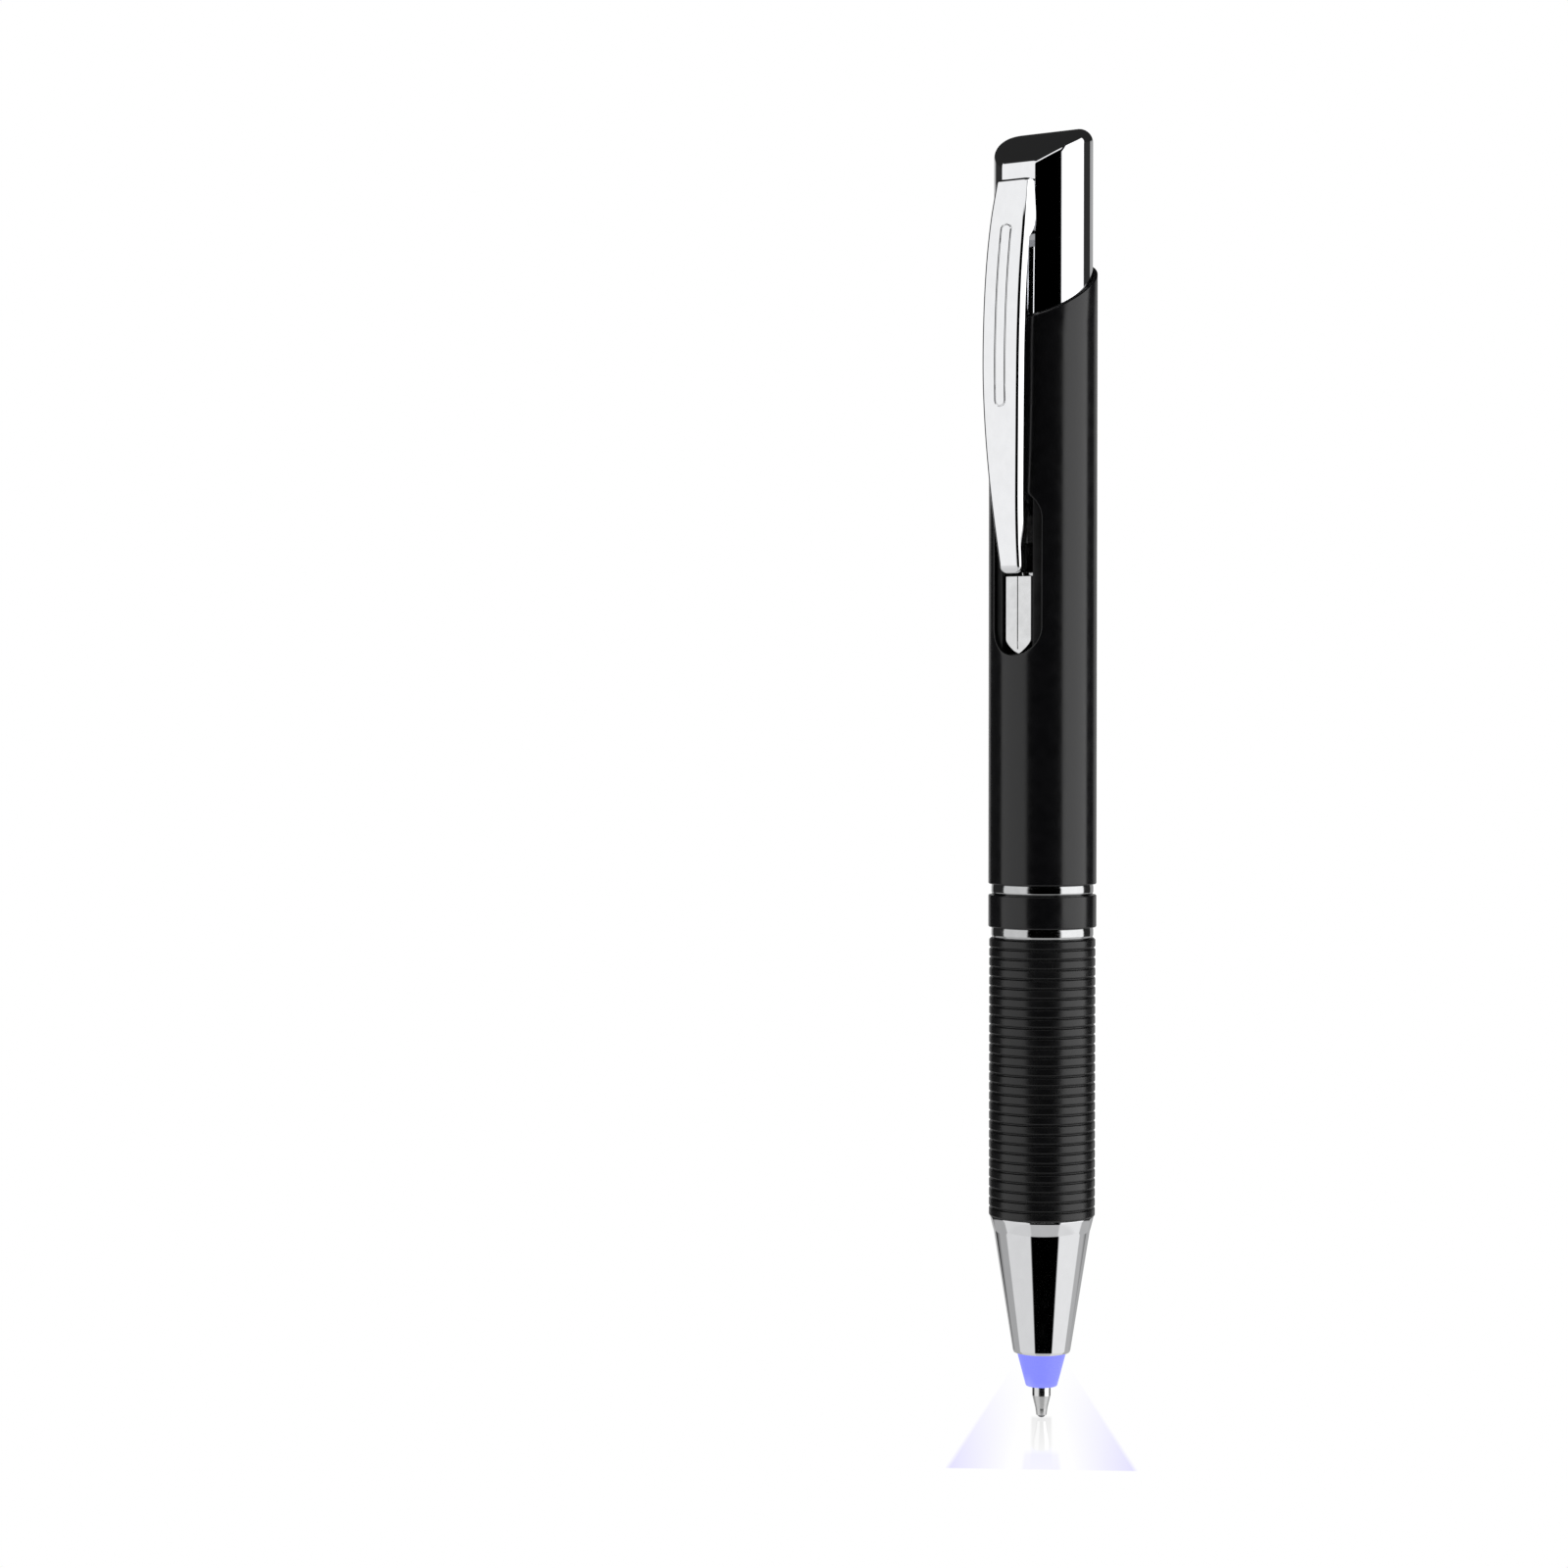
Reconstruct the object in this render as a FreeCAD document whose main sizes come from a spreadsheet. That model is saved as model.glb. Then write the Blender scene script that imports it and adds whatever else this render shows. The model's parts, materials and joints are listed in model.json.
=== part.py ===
import FreeCAD, Part
import os
import Sketcher

# A lighted counterfeit detector pen, standing upright on its writing tip.
# Millimetres, +Z up, origin at the lowest point of the writing ball, on the pen's axis.
# The pocket clip is on the -Y side, and "out" below is the distance from the axis towards it.
# The pen is extended: the cap is pressed home and the ball stands out of the light guide.

DRIVING = {
    # Refill: a steel tube 2.35 mm across with a turned tip and a 1 mm ball.
    "ball_radius": 0.5,
    "ball_clearance": 0.03,
    "tip_rim_height": 0.3,
    "tip_rim_radius": 0.56,
    "tip_nose_radius": 0.7,
    "tip_nose_height": 1.2,
    "tip_radius": 1.0,
    "tip_shoulder_height": 2.45,
    "ink_channel_radius": 0.25,
    "refill_radius": 1.175,
    "refill_bore_radius": 0.875,
    "refill_bottom": 11.0,
    "refill_top": 67.0,
    "tip_spigot_length": 2.0,
    "ink_top": 60.0,
    "plug_length": 3.0,
    "plug_flange": 1.0,
    "carrier_radius": 1.9,
    "carrier_flange_radius": 2.3,
    "carrier_flange_height": 1.2,
    "carrier_bottom": 30.0,
    "carrier_top": 64.0,
    "spring_coil_radius": 1.6,
    "spring_wire_radius": 0.16,
    "spring_turns": 9.0,
    # Light guide and nose cone.
    "guide_bottom": 3.5,
    "guide_bore_radius": 1.08,
    "guide_end_radius": 1.7,
    "guide_radius": 2.72,
    "guide_flange_radius": 3.0,
    "guide_flange_bottom": 9.0,
    "guide_top": 10.6,
    "nose_bottom": 7.2,
    "nose_end_radius": 3.1,
    "nose_edge": 0.15,
    "nose_crease_radius": 5.2,
    "nose_crease_height": 20.4,
    "nose_shoulder_radius": 5.62,
    "nose_bulge_radius": 5.52,
    "nose_bulge_height": 21.19,
    "nose_top": 22.05,
    "nose_spigot_length": 3.95,
    # Lamp circuit.
    "board_bottom": 14.6,
    "board_top": 15.4,
    "board_radius": 3.4,
    "board_hole_radius": 1.35,
    "led_length": 1.4,
    "led_width": 1.0,
    "led_height": 0.9,
    "led_circle_radius": 2.15,
    "insulator_radius": 3.85,
    "insulator_bore_radius": 2.45,
    "insulator_top": 65.3,
    "strip_width": 1.6,
    "strip_inner": 3.45,
    "strip_thickness": 0.3,
    "contact_ring_bore": 2.6,
    "contact_ring_top": 66.0,
    # Front section: grip, brass inner barrel, threaded connector, two rings and a band.
    "inner_barrel_bore": 4.5,
    "inner_barrel_radius": 5.1,
    "grip_top": 52.3,
    "grip_radius": 5.75,
    "grip_groove_depth": 0.16,
    "grip_groove_width": 0.56,
    "grip_ribs": 29.0,
    "connector_bottom": 46.0,
    "connector_top": 65.0,
    "thread_crest_radius": 4.9,
    "thread_depth": 0.3,
    "thread_pitch": 0.75,
    "thread_start": 58.9,
    "thread_turns": 8.0,
    "ring_radius": 5.52,
    "ring_edge": 0.12,
    "lower_ring_top": 53.5,
    "band_top": 57.0,
    "band_edge": 0.15,
    "upper_ring_top": 58.15,
    # Upper barrel, with its window and its oblique upper rim.
    "barrel_radius": 5.85,
    "barrel_wall": 0.44,
    "barrel_bottom": 58.2,
    "barrel_edge": 0.12,
    "rim_front_height": 118.8,
    "rim_back_height": 125.7,
    "window_width": 6.0,
    "window_bottom": 82.9,
    "window_top": 100.5,
    "bush_bore_radius": 4.95,
    "bush_top": 66.0,
    "liner_bore_radius": 4.65,
    "liner_bottom": 70.0,
    "liner_top": 105.5,
    "slot_width": 3.9,
    "slot_bottom": 80.0,
    "slot_top": 102.0,
    # Battery holder with three button cells.
    "holder_radius": 4.57,
    "holder_bore_radius": 4.0,
    "holder_bottom": 66.05,
    "holder_top": 83.0,
    "holder_floor": 2.0,
    "socket_radius": 1.25,
    "socket_depth": 1.0,
    "contact_radius": 3.8,
    "contact_thickness": 0.3,
    "contact_leg_radius": 0.4,
    "contact_leg_out": 3.2,
    "cell_radius": 3.95,
    "cell_height": 3.55,
    "cell_pitch": 3.6,
    "cell_spring_wide": 3.65,
    "cell_spring_narrow": 1.75,
    "cell_spring_wall": 0.25,
    # Plunger core, release tab and its pin.
    "core_bottom": 81.0,
    "core_waist": 106.0,
    "core_top": 131.0,
    "core_bore_radius": 3.4,
    "core_bore_bottom": 108.0,
    "tab_pocket_width": 3.6,
    "tab_pocket_floor": 1.5,
    "tab_pocket_top": 104.6,
    "tab_width": 3.36,
    "tab_bottom": 83.1,
    "tab_face_out": 4.95,
    "tab_face_top": 91.6,
    "tab_neck_out": 4.0,
    "tab_neck_bottom": 92.2,
    "tab_inner_out": 3.2,
    "tab_root_inner_out": 2.8,
    "tab_taper_bottom": 98.0,
    "tab_taper_top": 101.0,
    "tab_top": 103.9,
    "pin_radius": 0.5,
    "pin_clearance": 0.05,
    "pin_length": 4.6,
    "pin_out": 3.4,
    "pin_height": 102.7,
    # Push cap: a closed tube with an oblique crowned top and a flat for the clip's root.
    "cap_radius": 5.33,
    "cap_bottom": 106.5,
    "cap_blank_top": 141.0,
    "cap_front_height": 134.8,
    "cap_middle_height": 139.15,
    "cap_back_height": 139.4,
    "cap_edge": 1.5,
    "cap_flat_out": 4.9,
    "cap_flat_bottom": 126.4,
    # Pocket clip, bowed away from the barrel and narrowing to its tip.
    "clip_root_out": 4.95,
    "clip_top": 133.65,
    "clip_top_out": 6.25,
    "clip_root_bottom": 127.2,
    "clip_shoulder_height": 126.7,
    "clip_shoulder_out": 7.58,
    "clip_shoulder_back": 6.1,
    "clip_back_height": 121.4,
    "clip_back_out": 6.74,
    "clip_bow_height": 117.2,
    "clip_bow_out": 8.65,
    "clip_bow_back": 7.0,
    "clip_waist_height": 105.7,
    "clip_waist_out": 8.55,
    "clip_waist_back": 6.8,
    "clip_foot_height": 92.9,
    "clip_foot_out": 7.0,
    "clip_foot_back": 5.78,
    "clip_tip_height": 91.6,
    "clip_tooth_out": 5.95,
    "clip_tooth_bottom": 94.6,
    "clip_tooth_pitch": 1.2,
    "clip_teeth": 3.0,
    "clip_top_half_width": 2.05,
    "clip_shoulder_half_width": 2.38,
    "clip_bow_half_width": 2.36,
    "clip_waist_half_width": 2.12,
    "clip_foot_half_width": 1.25,
}

doc = FreeCAD.newDocument("DetectorPen")
sheet = doc.addObject("Spreadsheet::Sheet", "Sizes")


class Size:
    """A size in mm that keeps both its value and the expression that binds it to the sheet."""

    def __init__(self, value, text):
        self.value = value
        self.text = text

    def __add__(self, other):
        other = as_size(other)
        return Size(self.value + other.value, f"({self.text} + {other.text})")

    def __sub__(self, other):
        other = as_size(other)
        return Size(self.value - other.value, f"({self.text} - {other.text})")

    def __mul__(self, other):
        other = as_size(other)
        return Size(self.value * other.value, f"({self.text} * {other.text})")

    def __truediv__(self, other):
        other = as_size(other)
        return Size(self.value / other.value, f"({self.text} / {other.text})")

    def __neg__(self):
        return Size(-self.value, f"(-1 * {self.text})")


def as_size(number):
    return number if isinstance(number, Size) else Size(float(number), f"{float(number)}")


class Sheet:
    """The driving sizes, one spreadsheet row each: its name in column A, its value in column B."""

    def __init__(self, sizes):
        for row, (name, value) in enumerate(sizes.items(), start=1):
            sheet.set(f"A{row}", name)
            sheet.set(f"B{row}", str(value))
            sheet.setAlias(f"B{row}", name)
            setattr(self, name, Size(value, f"Sizes.{name}"))


S = Sheet(DRIVING)
doc.recompute()

FULL_TURN = 360.0
TINY = 1e-6         # lengths and volumes under this count as nothing
PAST = 1.0          # how far a cutting outline runs past what it cuts
PIECES = []


def bind(thing, prop, size):
    """Set a property to a size and tie it to the sheet."""
    size = as_size(size)
    setattr(thing, prop, size.value)
    thing.setExpression(prop, size.text)


def new_body(label):
    body = doc.addObject("PartDesign::Body", label)
    body.Label = label
    PIECES.append(body)
    return body


def new_sketch(body, plane):
    """A sketch on one of the body's own origin planes: XZ is (X, Z), YZ is (Y, Z), XY is (X, Y)."""
    sketch = body.newObject("Sketcher::SketchObject", f"{body.Name}_sketch")
    support = [item for item in body.Origin.OriginFeatures if item.Role == f"{plane}_Plane"]
    sketch.AttachmentSupport = [(support[0], "")]
    sketch.MapMode = "FlatFace"
    return sketch


def pin_across(sketch, geometry, end, size):
    pin_along(sketch, geometry, end, size, "DistanceX", -2)


def pin_up(sketch, geometry, end, size):
    pin_along(sketch, geometry, end, size, "DistanceY", -1)


def pin_along(sketch, geometry, end, size, kind, axis):
    """Hold one coordinate of a sketch point, measured from the sketch's origin."""
    size = as_size(size)
    if abs(size.value) < TINY:
        sketch.addConstraint(Sketcher.Constraint("PointOnObject", geometry, end, axis))
    else:
        index = sketch.addConstraint(Sketcher.Constraint(kind, -1, 1, geometry, end, size.value))
        sketch.setExpression(f"Constraints[{index}]", size.text)


def pin_point(sketch, geometry, end, point):
    pin_across(sketch, geometry, end, point[0])
    pin_up(sketch, geometry, end, point[1])


def pin_arc_centre(sketch, geometry, start, end):
    """Both ends of an arc are held, so one coordinate of its centre settles it."""
    centre = sketch.getPoint(geometry, 3)
    chord = place(end) - place(start)
    if abs(chord.x) > abs(chord.y):
        pin_up(sketch, geometry, 3, centre.y)
    else:
        pin_across(sketch, geometry, 3, centre.x)


def place(point):
    return FreeCAD.Vector(as_size(point[0]).value, as_size(point[1]).value, 0)


def draw_loop(sketch, points):
    """A closed outline. A point with a third item, "arc", is where an arc passes between its
    two neighbours; every other point is a corner."""
    corners = [point for point in points if len(point) == 2]
    passing = {}
    for index, point in enumerate(points):
        if len(point) == 3:
            passing[id(points[index - 1])] = point
    joints = []
    for corner, following in zip(corners, corners[1:] + corners[:1]):
        middle = passing.get(id(corner))
        if middle is None:
            edge = Part.LineSegment(place(corner), place(following))
            geometry = sketch.addGeometry(edge, False)
            joints.append((geometry, 1, 2))
            continue
        arc = Part.Arc(place(corner), place(middle), place(following))
        geometry = sketch.addGeometry(arc, False)
        starts_here = sketch.getPoint(geometry, 1).distanceToPoint(place(corner)) < TINY
        joints.append((geometry, 1, 2) if starts_here else (geometry, 2, 1))
        pin_arc_centre(sketch, geometry, corner, following)
    for corner, joint, before in zip(corners, joints, joints[-1:] + joints[:-1]):
        sketch.addConstraint(Sketcher.Constraint("Coincident", joint[0], joint[1], before[0], before[2]))
        pin_point(sketch, joint[0], joint[1], corner)


def draw_circle(sketch, centre, radius):
    circle = Part.Circle(place(centre), FreeCAD.Vector(0, 0, 1), as_size(radius).value)
    geometry = sketch.addGeometry(circle, False)
    pin_point(sketch, geometry, 3, centre)
    index = sketch.addConstraint(Sketcher.Constraint("Radius", geometry, as_size(radius).value))
    sketch.setExpression(f"Constraints[{index}]", as_size(radius).text)


def feature(body, kind, sketch):
    made = body.newObject(f"PartDesign::{kind}", f"{body.Name}_{kind.lower()}")
    made.Profile = (sketch, [""])
    return made


def must_change(body, before, growing):
    """Stop if the last feature left the body's volume as it was."""
    doc.recompute()
    change = body.Shape.Volume - before
    if (change > 0) != growing or abs(change) < TINY:
        raise RuntimeError(f"{body.Label}: the last feature changed nothing ({change:.6f} mm3)")


def turn(body, outline, kind="Revolution"):
    """Turn an outline of (radius, height) points about the pen's axis, added or cut away."""
    growing = kind == "Revolution"
    before = 0.0 if body.Tip is None else body.Shape.Volume
    sketch = new_sketch(body, "XZ")
    draw_loop(sketch, outline)
    made = feature(body, kind, sketch)
    made.ReferenceAxis = (sketch, ["V_Axis"])
    made.Angle = FULL_TURN
    must_change(body, before, growing)
    return sketch, made


def turned(label, outline):
    body = new_body(label)
    turn(body, outline)
    return body


def tube(label, inner, outer, bottom, top):
    return turned(label, [(inner, bottom), (outer, bottom), (outer, top), (inner, top)])


def slab(body, plane, loops, length, kind):
    """Pad or pocket outlines by a length, evenly about their plane."""
    before = 0.0 if body.Tip is None else body.Shape.Volume
    sketch = new_sketch(body, plane)
    for loop in loops:
        draw_loop(sketch, loop)
    made = feature(body, kind, sketch)
    made.SideType = "Symmetric"
    bind(made, "Length", length)
    must_change(body, before, kind == "Pad")


def from_axis(body, loop, depth, kind):
    """Pad or pocket an outline from the axis outwards, on the clip's side only."""
    before = 0.0 if body.Tip is None else body.Shape.Volume
    sketch = new_sketch(body, "XZ")
    draw_loop(sketch, loop)
    made = feature(body, kind, sketch)
    made.Reversed = kind == "Pocket"
    bind(made, "Length", depth)
    must_change(body, before, kind == "Pad")


def cross_hole(body, radius, length):
    """A hole across the body along X, on the tab pin's line."""
    before = body.Shape.Volume
    sketch = new_sketch(body, "YZ")
    draw_circle(sketch, (-S.pin_out, S.pin_height), radius)
    made = feature(body, "Pocket", sketch)
    made.SideType = "Symmetric"
    bind(made, "Length", length)
    must_change(body, before, False)


def soften(body, kind, size, wanted):
    """Fillet or chamfer the edges that wanted(edge) picks."""
    before = body.Shape.Volume
    names = [f"Edge{number}" for number, edge in enumerate(body.Shape.Edges, start=1) if wanted(edge)]
    base = body.Tip
    made = body.newObject(f"PartDesign::{kind}", f"{body.Name}_{kind.lower()}")
    made.Base = (base, names)
    bind(made, "Radius" if kind == "Fillet" else "Size", size)
    must_change(body, before, False)


def is_rim(radius, *heights):
    """Picks the circles of a given radius at given heights."""

    def wanted(edge):
        curve = edge.Curve
        if not isinstance(curve, Part.Circle) or abs(curve.Radius - radius.value) > TINY:
            return False
        return any(abs(curve.Center.z - height.value) < TINY for height in heights)

    return wanted


def repeat_up(body, original, sketch, length, count):
    """Repeat a feature upwards along the pen's axis."""
    before = body.Shape.Volume
    pattern = body.newObject("PartDesign::LinearPattern", f"{body.Name}_pattern")
    pattern.Originals = [original]
    pattern.Direction = (sketch, ["V_Axis"])
    bind(pattern, "Length", length)
    pattern.Occurrences = int(round(as_size(count).value))
    pattern.setExpression("Occurrences", as_size(count).text)
    body.Tip = pattern
    must_change(body, before, False)


def group(label, members):
    """Several identical solids in one node."""
    compound = doc.addObject("Part::Compound", label)
    compound.Label = label
    compound.Links = members
    PIECES.append(compound)


def part_solid(kind, name, sizes):
    solid = doc.addObject(f"Part::{kind}", name)
    for prop, size in sizes.items():
        bind(solid, prop, size)
    return solid


def lift(thing, height):
    thing.setExpression("Placement.Base.z", as_size(height).text)


# --- Refill -----------------------------------------------------------------------------------

def make_ball():
    ball = part_solid("Sphere", "ball", {"Radius": S.ball_radius})
    ball.Label = "ball"
    lift(ball, S.ball_radius)
    PIECES.append(ball)


def make_refill_tip():
    socket = S.ball_radius + S.ball_clearance
    drop = S.ball_radius - S.tip_rim_height
    rim = (socket.value ** 2 - drop.value ** 2) ** 0.5
    throat = (socket.value ** 2 - S.ink_channel_radius.value ** 2) ** 0.5
    spigot_top = S.refill_bottom + S.tip_spigot_length
    turned("refill_tip", [
        (rim, S.tip_rim_height),
        (S.tip_rim_radius, S.tip_rim_height),
        (S.tip_nose_radius, S.tip_nose_height),
        (S.tip_radius, S.tip_shoulder_height),
        (S.tip_radius, S.refill_bottom),
        (S.refill_bore_radius, S.refill_bottom),
        (S.refill_bore_radius, spigot_top),
        (S.ink_channel_radius, spigot_top),
        (S.ink_channel_radius, S.ball_radius + throat),
        (socket, S.ball_radius, "arc"),
    ])


def make_refill():
    spigot_top = S.refill_bottom + S.tip_spigot_length
    plug_top = S.refill_top - S.plug_flange
    tube("refill_tube", S.refill_bore_radius, S.refill_radius, S.refill_bottom, plug_top)
    tube("ink_column", 0, S.refill_bore_radius, spigot_top, S.ink_top)
    turned("refill_plug", [
        (0, plug_top - S.plug_length),
        (S.refill_bore_radius, plug_top - S.plug_length),
        (S.refill_bore_radius, plug_top),
        (S.refill_radius, plug_top),
        (S.refill_radius, S.refill_top),
        (0, S.refill_top),
    ])
    flange_top = S.carrier_bottom + S.carrier_flange_height
    turned("refill_carrier", [
        (S.refill_radius, S.carrier_bottom),
        (S.carrier_flange_radius, S.carrier_bottom),
        (S.carrier_flange_radius, flange_top),
        (S.carrier_radius, flange_top),
        (S.carrier_radius, S.carrier_top),
        (S.refill_radius, S.carrier_top),
    ])


def make_refill_spring():
    """A coil of round wire between the LED board and the carrier's flange."""
    room = S.carrier_bottom - S.board_top - S.spring_wire_radius * 2
    coil = part_solid("Helix", "spring_path", {
        "Radius": S.spring_coil_radius,
        "Height": room,
        "Pitch": room / S.spring_turns,
    })
    wire = part_solid("Circle", "spring_wire", {"Radius": S.spring_wire_radius})
    wire.Placement.Rotation = FreeCAD.Rotation(FreeCAD.Vector(1, 0, 0), 90)
    wire.setExpression("Placement.Base.x", S.spring_coil_radius.text)
    spring = doc.addObject("Part::Sweep", "refill_spring")
    spring.Label = "refill_spring"
    spring.Sections = [wire]
    spring.Spine = (coil, [])
    spring.Solid = True
    spring.Frenet = True
    lift(spring, S.board_top + S.spring_wire_radius)
    PIECES.append(spring)


# --- Light guide, nose and lamp circuit -------------------------------------------------------

def make_light_guide():
    turned("light_guide", [
        (S.guide_bore_radius, S.guide_bottom),
        (S.guide_end_radius, S.guide_bottom),
        (S.guide_radius, S.nose_bottom),
        (S.guide_radius, S.guide_flange_bottom),
        (S.guide_flange_radius, S.guide_flange_bottom),
        (S.guide_flange_radius, S.guide_top),
        (S.guide_bore_radius, S.guide_top),
    ])


def make_nose_cone():
    spigot_top = S.nose_top + S.nose_spigot_length
    turned("nose_cone", [
        (S.guide_radius, S.nose_bottom),
        (S.nose_end_radius - S.nose_edge, S.nose_bottom),
        (S.nose_end_radius, S.nose_bottom + S.nose_edge),
        (S.nose_crease_radius, S.nose_crease_height),
        (S.nose_bulge_radius, S.nose_bulge_height, "arc"),
        (S.nose_shoulder_radius, S.nose_top),
        (S.inner_barrel_bore, S.nose_top),
        (S.inner_barrel_bore, spigot_top),
        (S.insulator_radius, spigot_top),
        (S.insulator_radius, S.board_top),
        (S.board_radius, S.board_top),
        (S.board_radius, S.board_bottom),
        (S.guide_flange_radius, S.board_bottom),
        (S.guide_flange_radius, S.guide_flange_bottom),
        (S.guide_radius, S.guide_flange_bottom),
    ])


def make_lamp():
    tube("led_board", S.board_hole_radius, S.board_radius, S.board_bottom, S.board_top)
    leds = []
    led_count = 3
    for number in range(led_count):
        led = part_solid("Box", f"led_{number + 1}", {
            "Length": S.led_width,
            "Width": S.led_length,
            "Height": S.led_height,
        })
        turn_angle = FULL_TURN * number / led_count
        corner = FreeCAD.Vector(
            S.led_circle_radius.value - S.led_width.value / 2,
            -S.led_length.value / 2,
            S.board_bottom.value - S.led_height.value)
        rotation = FreeCAD.Rotation(FreeCAD.Vector(0, 0, 1), turn_angle)
        led.Placement = FreeCAD.Placement(rotation.multVec(corner), rotation)
        leds.append(led)
    group("uv_leds", leds)


def make_insulator():
    body = tube("insulator_tube", S.insulator_bore_radius, S.insulator_radius, S.board_top,
                S.insulator_top)
    half_width = S.strip_width / 2
    far = S.insulator_radius + PAST
    channels = []
    for side in (1, -1):
        channels.append([
            (S.strip_inner * side, -half_width),
            (far * side, -half_width),
            (far * side, half_width),
            (S.strip_inner * side, half_width),
        ])
    slab(body, "XY", channels, S.insulator_top * 2, "Pocket")
    strips = []
    for number, side in enumerate((1, -1), start=1):
        strip = part_solid("Box", f"lead_strip_{number}", {
            "Length": S.strip_thickness,
            "Width": S.strip_width,
            "Height": S.insulator_top - S.board_top,
        })
        inner = S.strip_inner if side > 0 else -S.strip_inner - S.strip_thickness
        strip.setExpression("Placement.Base.x", inner.text)
        strip.setExpression("Placement.Base.y", (-half_width).text)
        lift(strip, S.board_top)
        strips.append(strip)
    group("lead_strips", strips)
    tube("contact_ring", S.contact_ring_bore, S.insulator_radius, S.insulator_top,
         S.contact_ring_top)


# --- Grip and the joint between the two halves ------------------------------------------------

def make_front_section():
    tube("inner_barrel", S.inner_barrel_bore, S.inner_barrel_radius, S.nose_top, S.grip_top)
    grip = tube("grip_sleeve", S.inner_barrel_radius, S.grip_radius, S.nose_top, S.grip_top)
    pitch = (S.grip_top - S.nose_top) / S.grip_ribs
    cut_grooves(grip, S.grip_radius, S.nose_top + pitch, pitch, S.grip_ribs - 1,
                S.grip_groove_depth, S.grip_groove_width)
    connector = turned("threaded_connector", [
        (S.insulator_radius, S.connector_bottom),
        (S.inner_barrel_bore, S.connector_bottom),
        (S.inner_barrel_bore, S.grip_top),
        (S.inner_barrel_radius, S.grip_top),
        (S.inner_barrel_radius, S.upper_ring_top),
        (S.thread_crest_radius, S.upper_ring_top),
        (S.thread_crest_radius, S.connector_top),
        (S.insulator_radius, S.connector_top),
    ])
    cut_grooves(connector, S.thread_crest_radius, S.thread_start, S.thread_pitch, S.thread_turns,
                S.thread_depth, S.thread_depth * 2)
    for label, radius, bottom, top, edge in (
            ("lower_ring", S.ring_radius, S.grip_top, S.lower_ring_top, S.ring_edge),
            ("centre_band", S.barrel_radius, S.lower_ring_top, S.band_top, S.band_edge),
            ("upper_ring", S.ring_radius, S.band_top, S.upper_ring_top, S.ring_edge)):
        ring = tube(label, S.inner_barrel_radius, radius, bottom, top)
        soften(ring, "Chamfer", edge, is_rim(radius, bottom, top))


def cut_grooves(body, radius, first, pitch, count, depth, width):
    """A row of V-shaped grooves round the outside of a turned piece."""
    proud = 0.1
    half = width / 2
    sketch, groove = turn(body, [
        (radius - depth, first),
        (radius + proud, first - half - proud / 2),
        (radius + proud, first + half + proud / 2),
    ], "Groove")
    repeat_up(body, groove, sketch, pitch * (count - 1), count)


# --- Upper barrel -----------------------------------------------------------------------------

def make_upper_barrel():
    bore = S.barrel_radius - S.barrel_wall
    blank_top = S.rim_back_height + PAST
    body = tube("upper_barrel", bore, S.barrel_radius, S.barrel_bottom, blank_top)
    soften(body, "Chamfer", S.barrel_edge, is_rim(S.barrel_radius, S.barrel_bottom))
    slope = (S.rim_back_height - S.rim_front_height) / (S.barrel_radius * 2)
    reach = S.barrel_radius + PAST
    slab(body, "YZ", [[
        (-reach, S.rim_front_height - slope * PAST),
        (reach, S.rim_back_height + slope * PAST),
        (reach, blank_top + PAST),
        (-reach, blank_top + PAST),
    ]], reach * 2, "Pocket")
    end = S.window_width / 2
    from_axis(body, [
        (-end, S.window_bottom + end),
        (0, S.window_bottom, "arc"),
        (end, S.window_bottom + end),
        (end, S.window_top - end),
        (0, S.window_top, "arc"),
        (-end, S.window_top - end),
    ], reach, "Pocket")
    tube("thread_bush", S.bush_bore_radius, bore, S.barrel_bottom, S.bush_top)
    liner = tube("barrel_liner", S.liner_bore_radius, bore, S.liner_bottom, S.liner_top)
    half = S.slot_width / 2
    from_axis(liner, [
        (-half, S.slot_bottom),
        (half, S.slot_bottom),
        (half, S.slot_top),
        (-half, S.slot_top),
    ], reach, "Pocket")


# --- Batteries, plunger and release tab -------------------------------------------------------

def make_battery_holder():
    floor_top = S.holder_bottom + S.holder_floor
    recess_top = S.holder_bottom + S.contact_thickness
    holder = turned("battery_holder", [
        (S.socket_radius, S.holder_bottom),
        (S.contact_ring_bore, S.holder_bottom),
        (S.contact_ring_bore, recess_top),
        (S.contact_radius, recess_top),
        (S.contact_radius, S.holder_bottom),
        (S.holder_radius, S.holder_bottom),
        (S.holder_radius, S.holder_top),
        (S.holder_bore_radius, S.holder_top),
        (S.holder_bore_radius, floor_top),
        (0, floor_top),
        (0, S.holder_bottom + S.socket_depth),
        (S.socket_radius, S.holder_bottom + S.socket_depth),
    ])
    upright_pegs(holder, "Pocket", floor_top)
    contact = tube("lower_contact", S.contact_ring_bore, S.contact_radius, S.holder_bottom,
                   recess_top)
    upright_pegs(contact, "Pad", floor_top)
    cells = []
    cell_count = 3
    for number in range(cell_count):
        cell = part_solid("Cylinder", f"cell_{number + 1}", {
            "Radius": S.cell_radius,
            "Height": S.cell_height,
        })
        lift(cell, floor_top + S.cell_pitch * number)
        cells.append(cell)
    group("button_cells", cells)
    spring_bottom = floor_top + S.cell_pitch * (cell_count - 1) + S.cell_height
    turned("battery_spring", [
        (S.cell_spring_wide - S.cell_spring_wall, spring_bottom),
        (S.cell_spring_wide, spring_bottom),
        (S.cell_spring_narrow, S.core_bottom),
        (S.cell_spring_narrow - S.cell_spring_wall, S.core_bottom),
    ])


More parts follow.
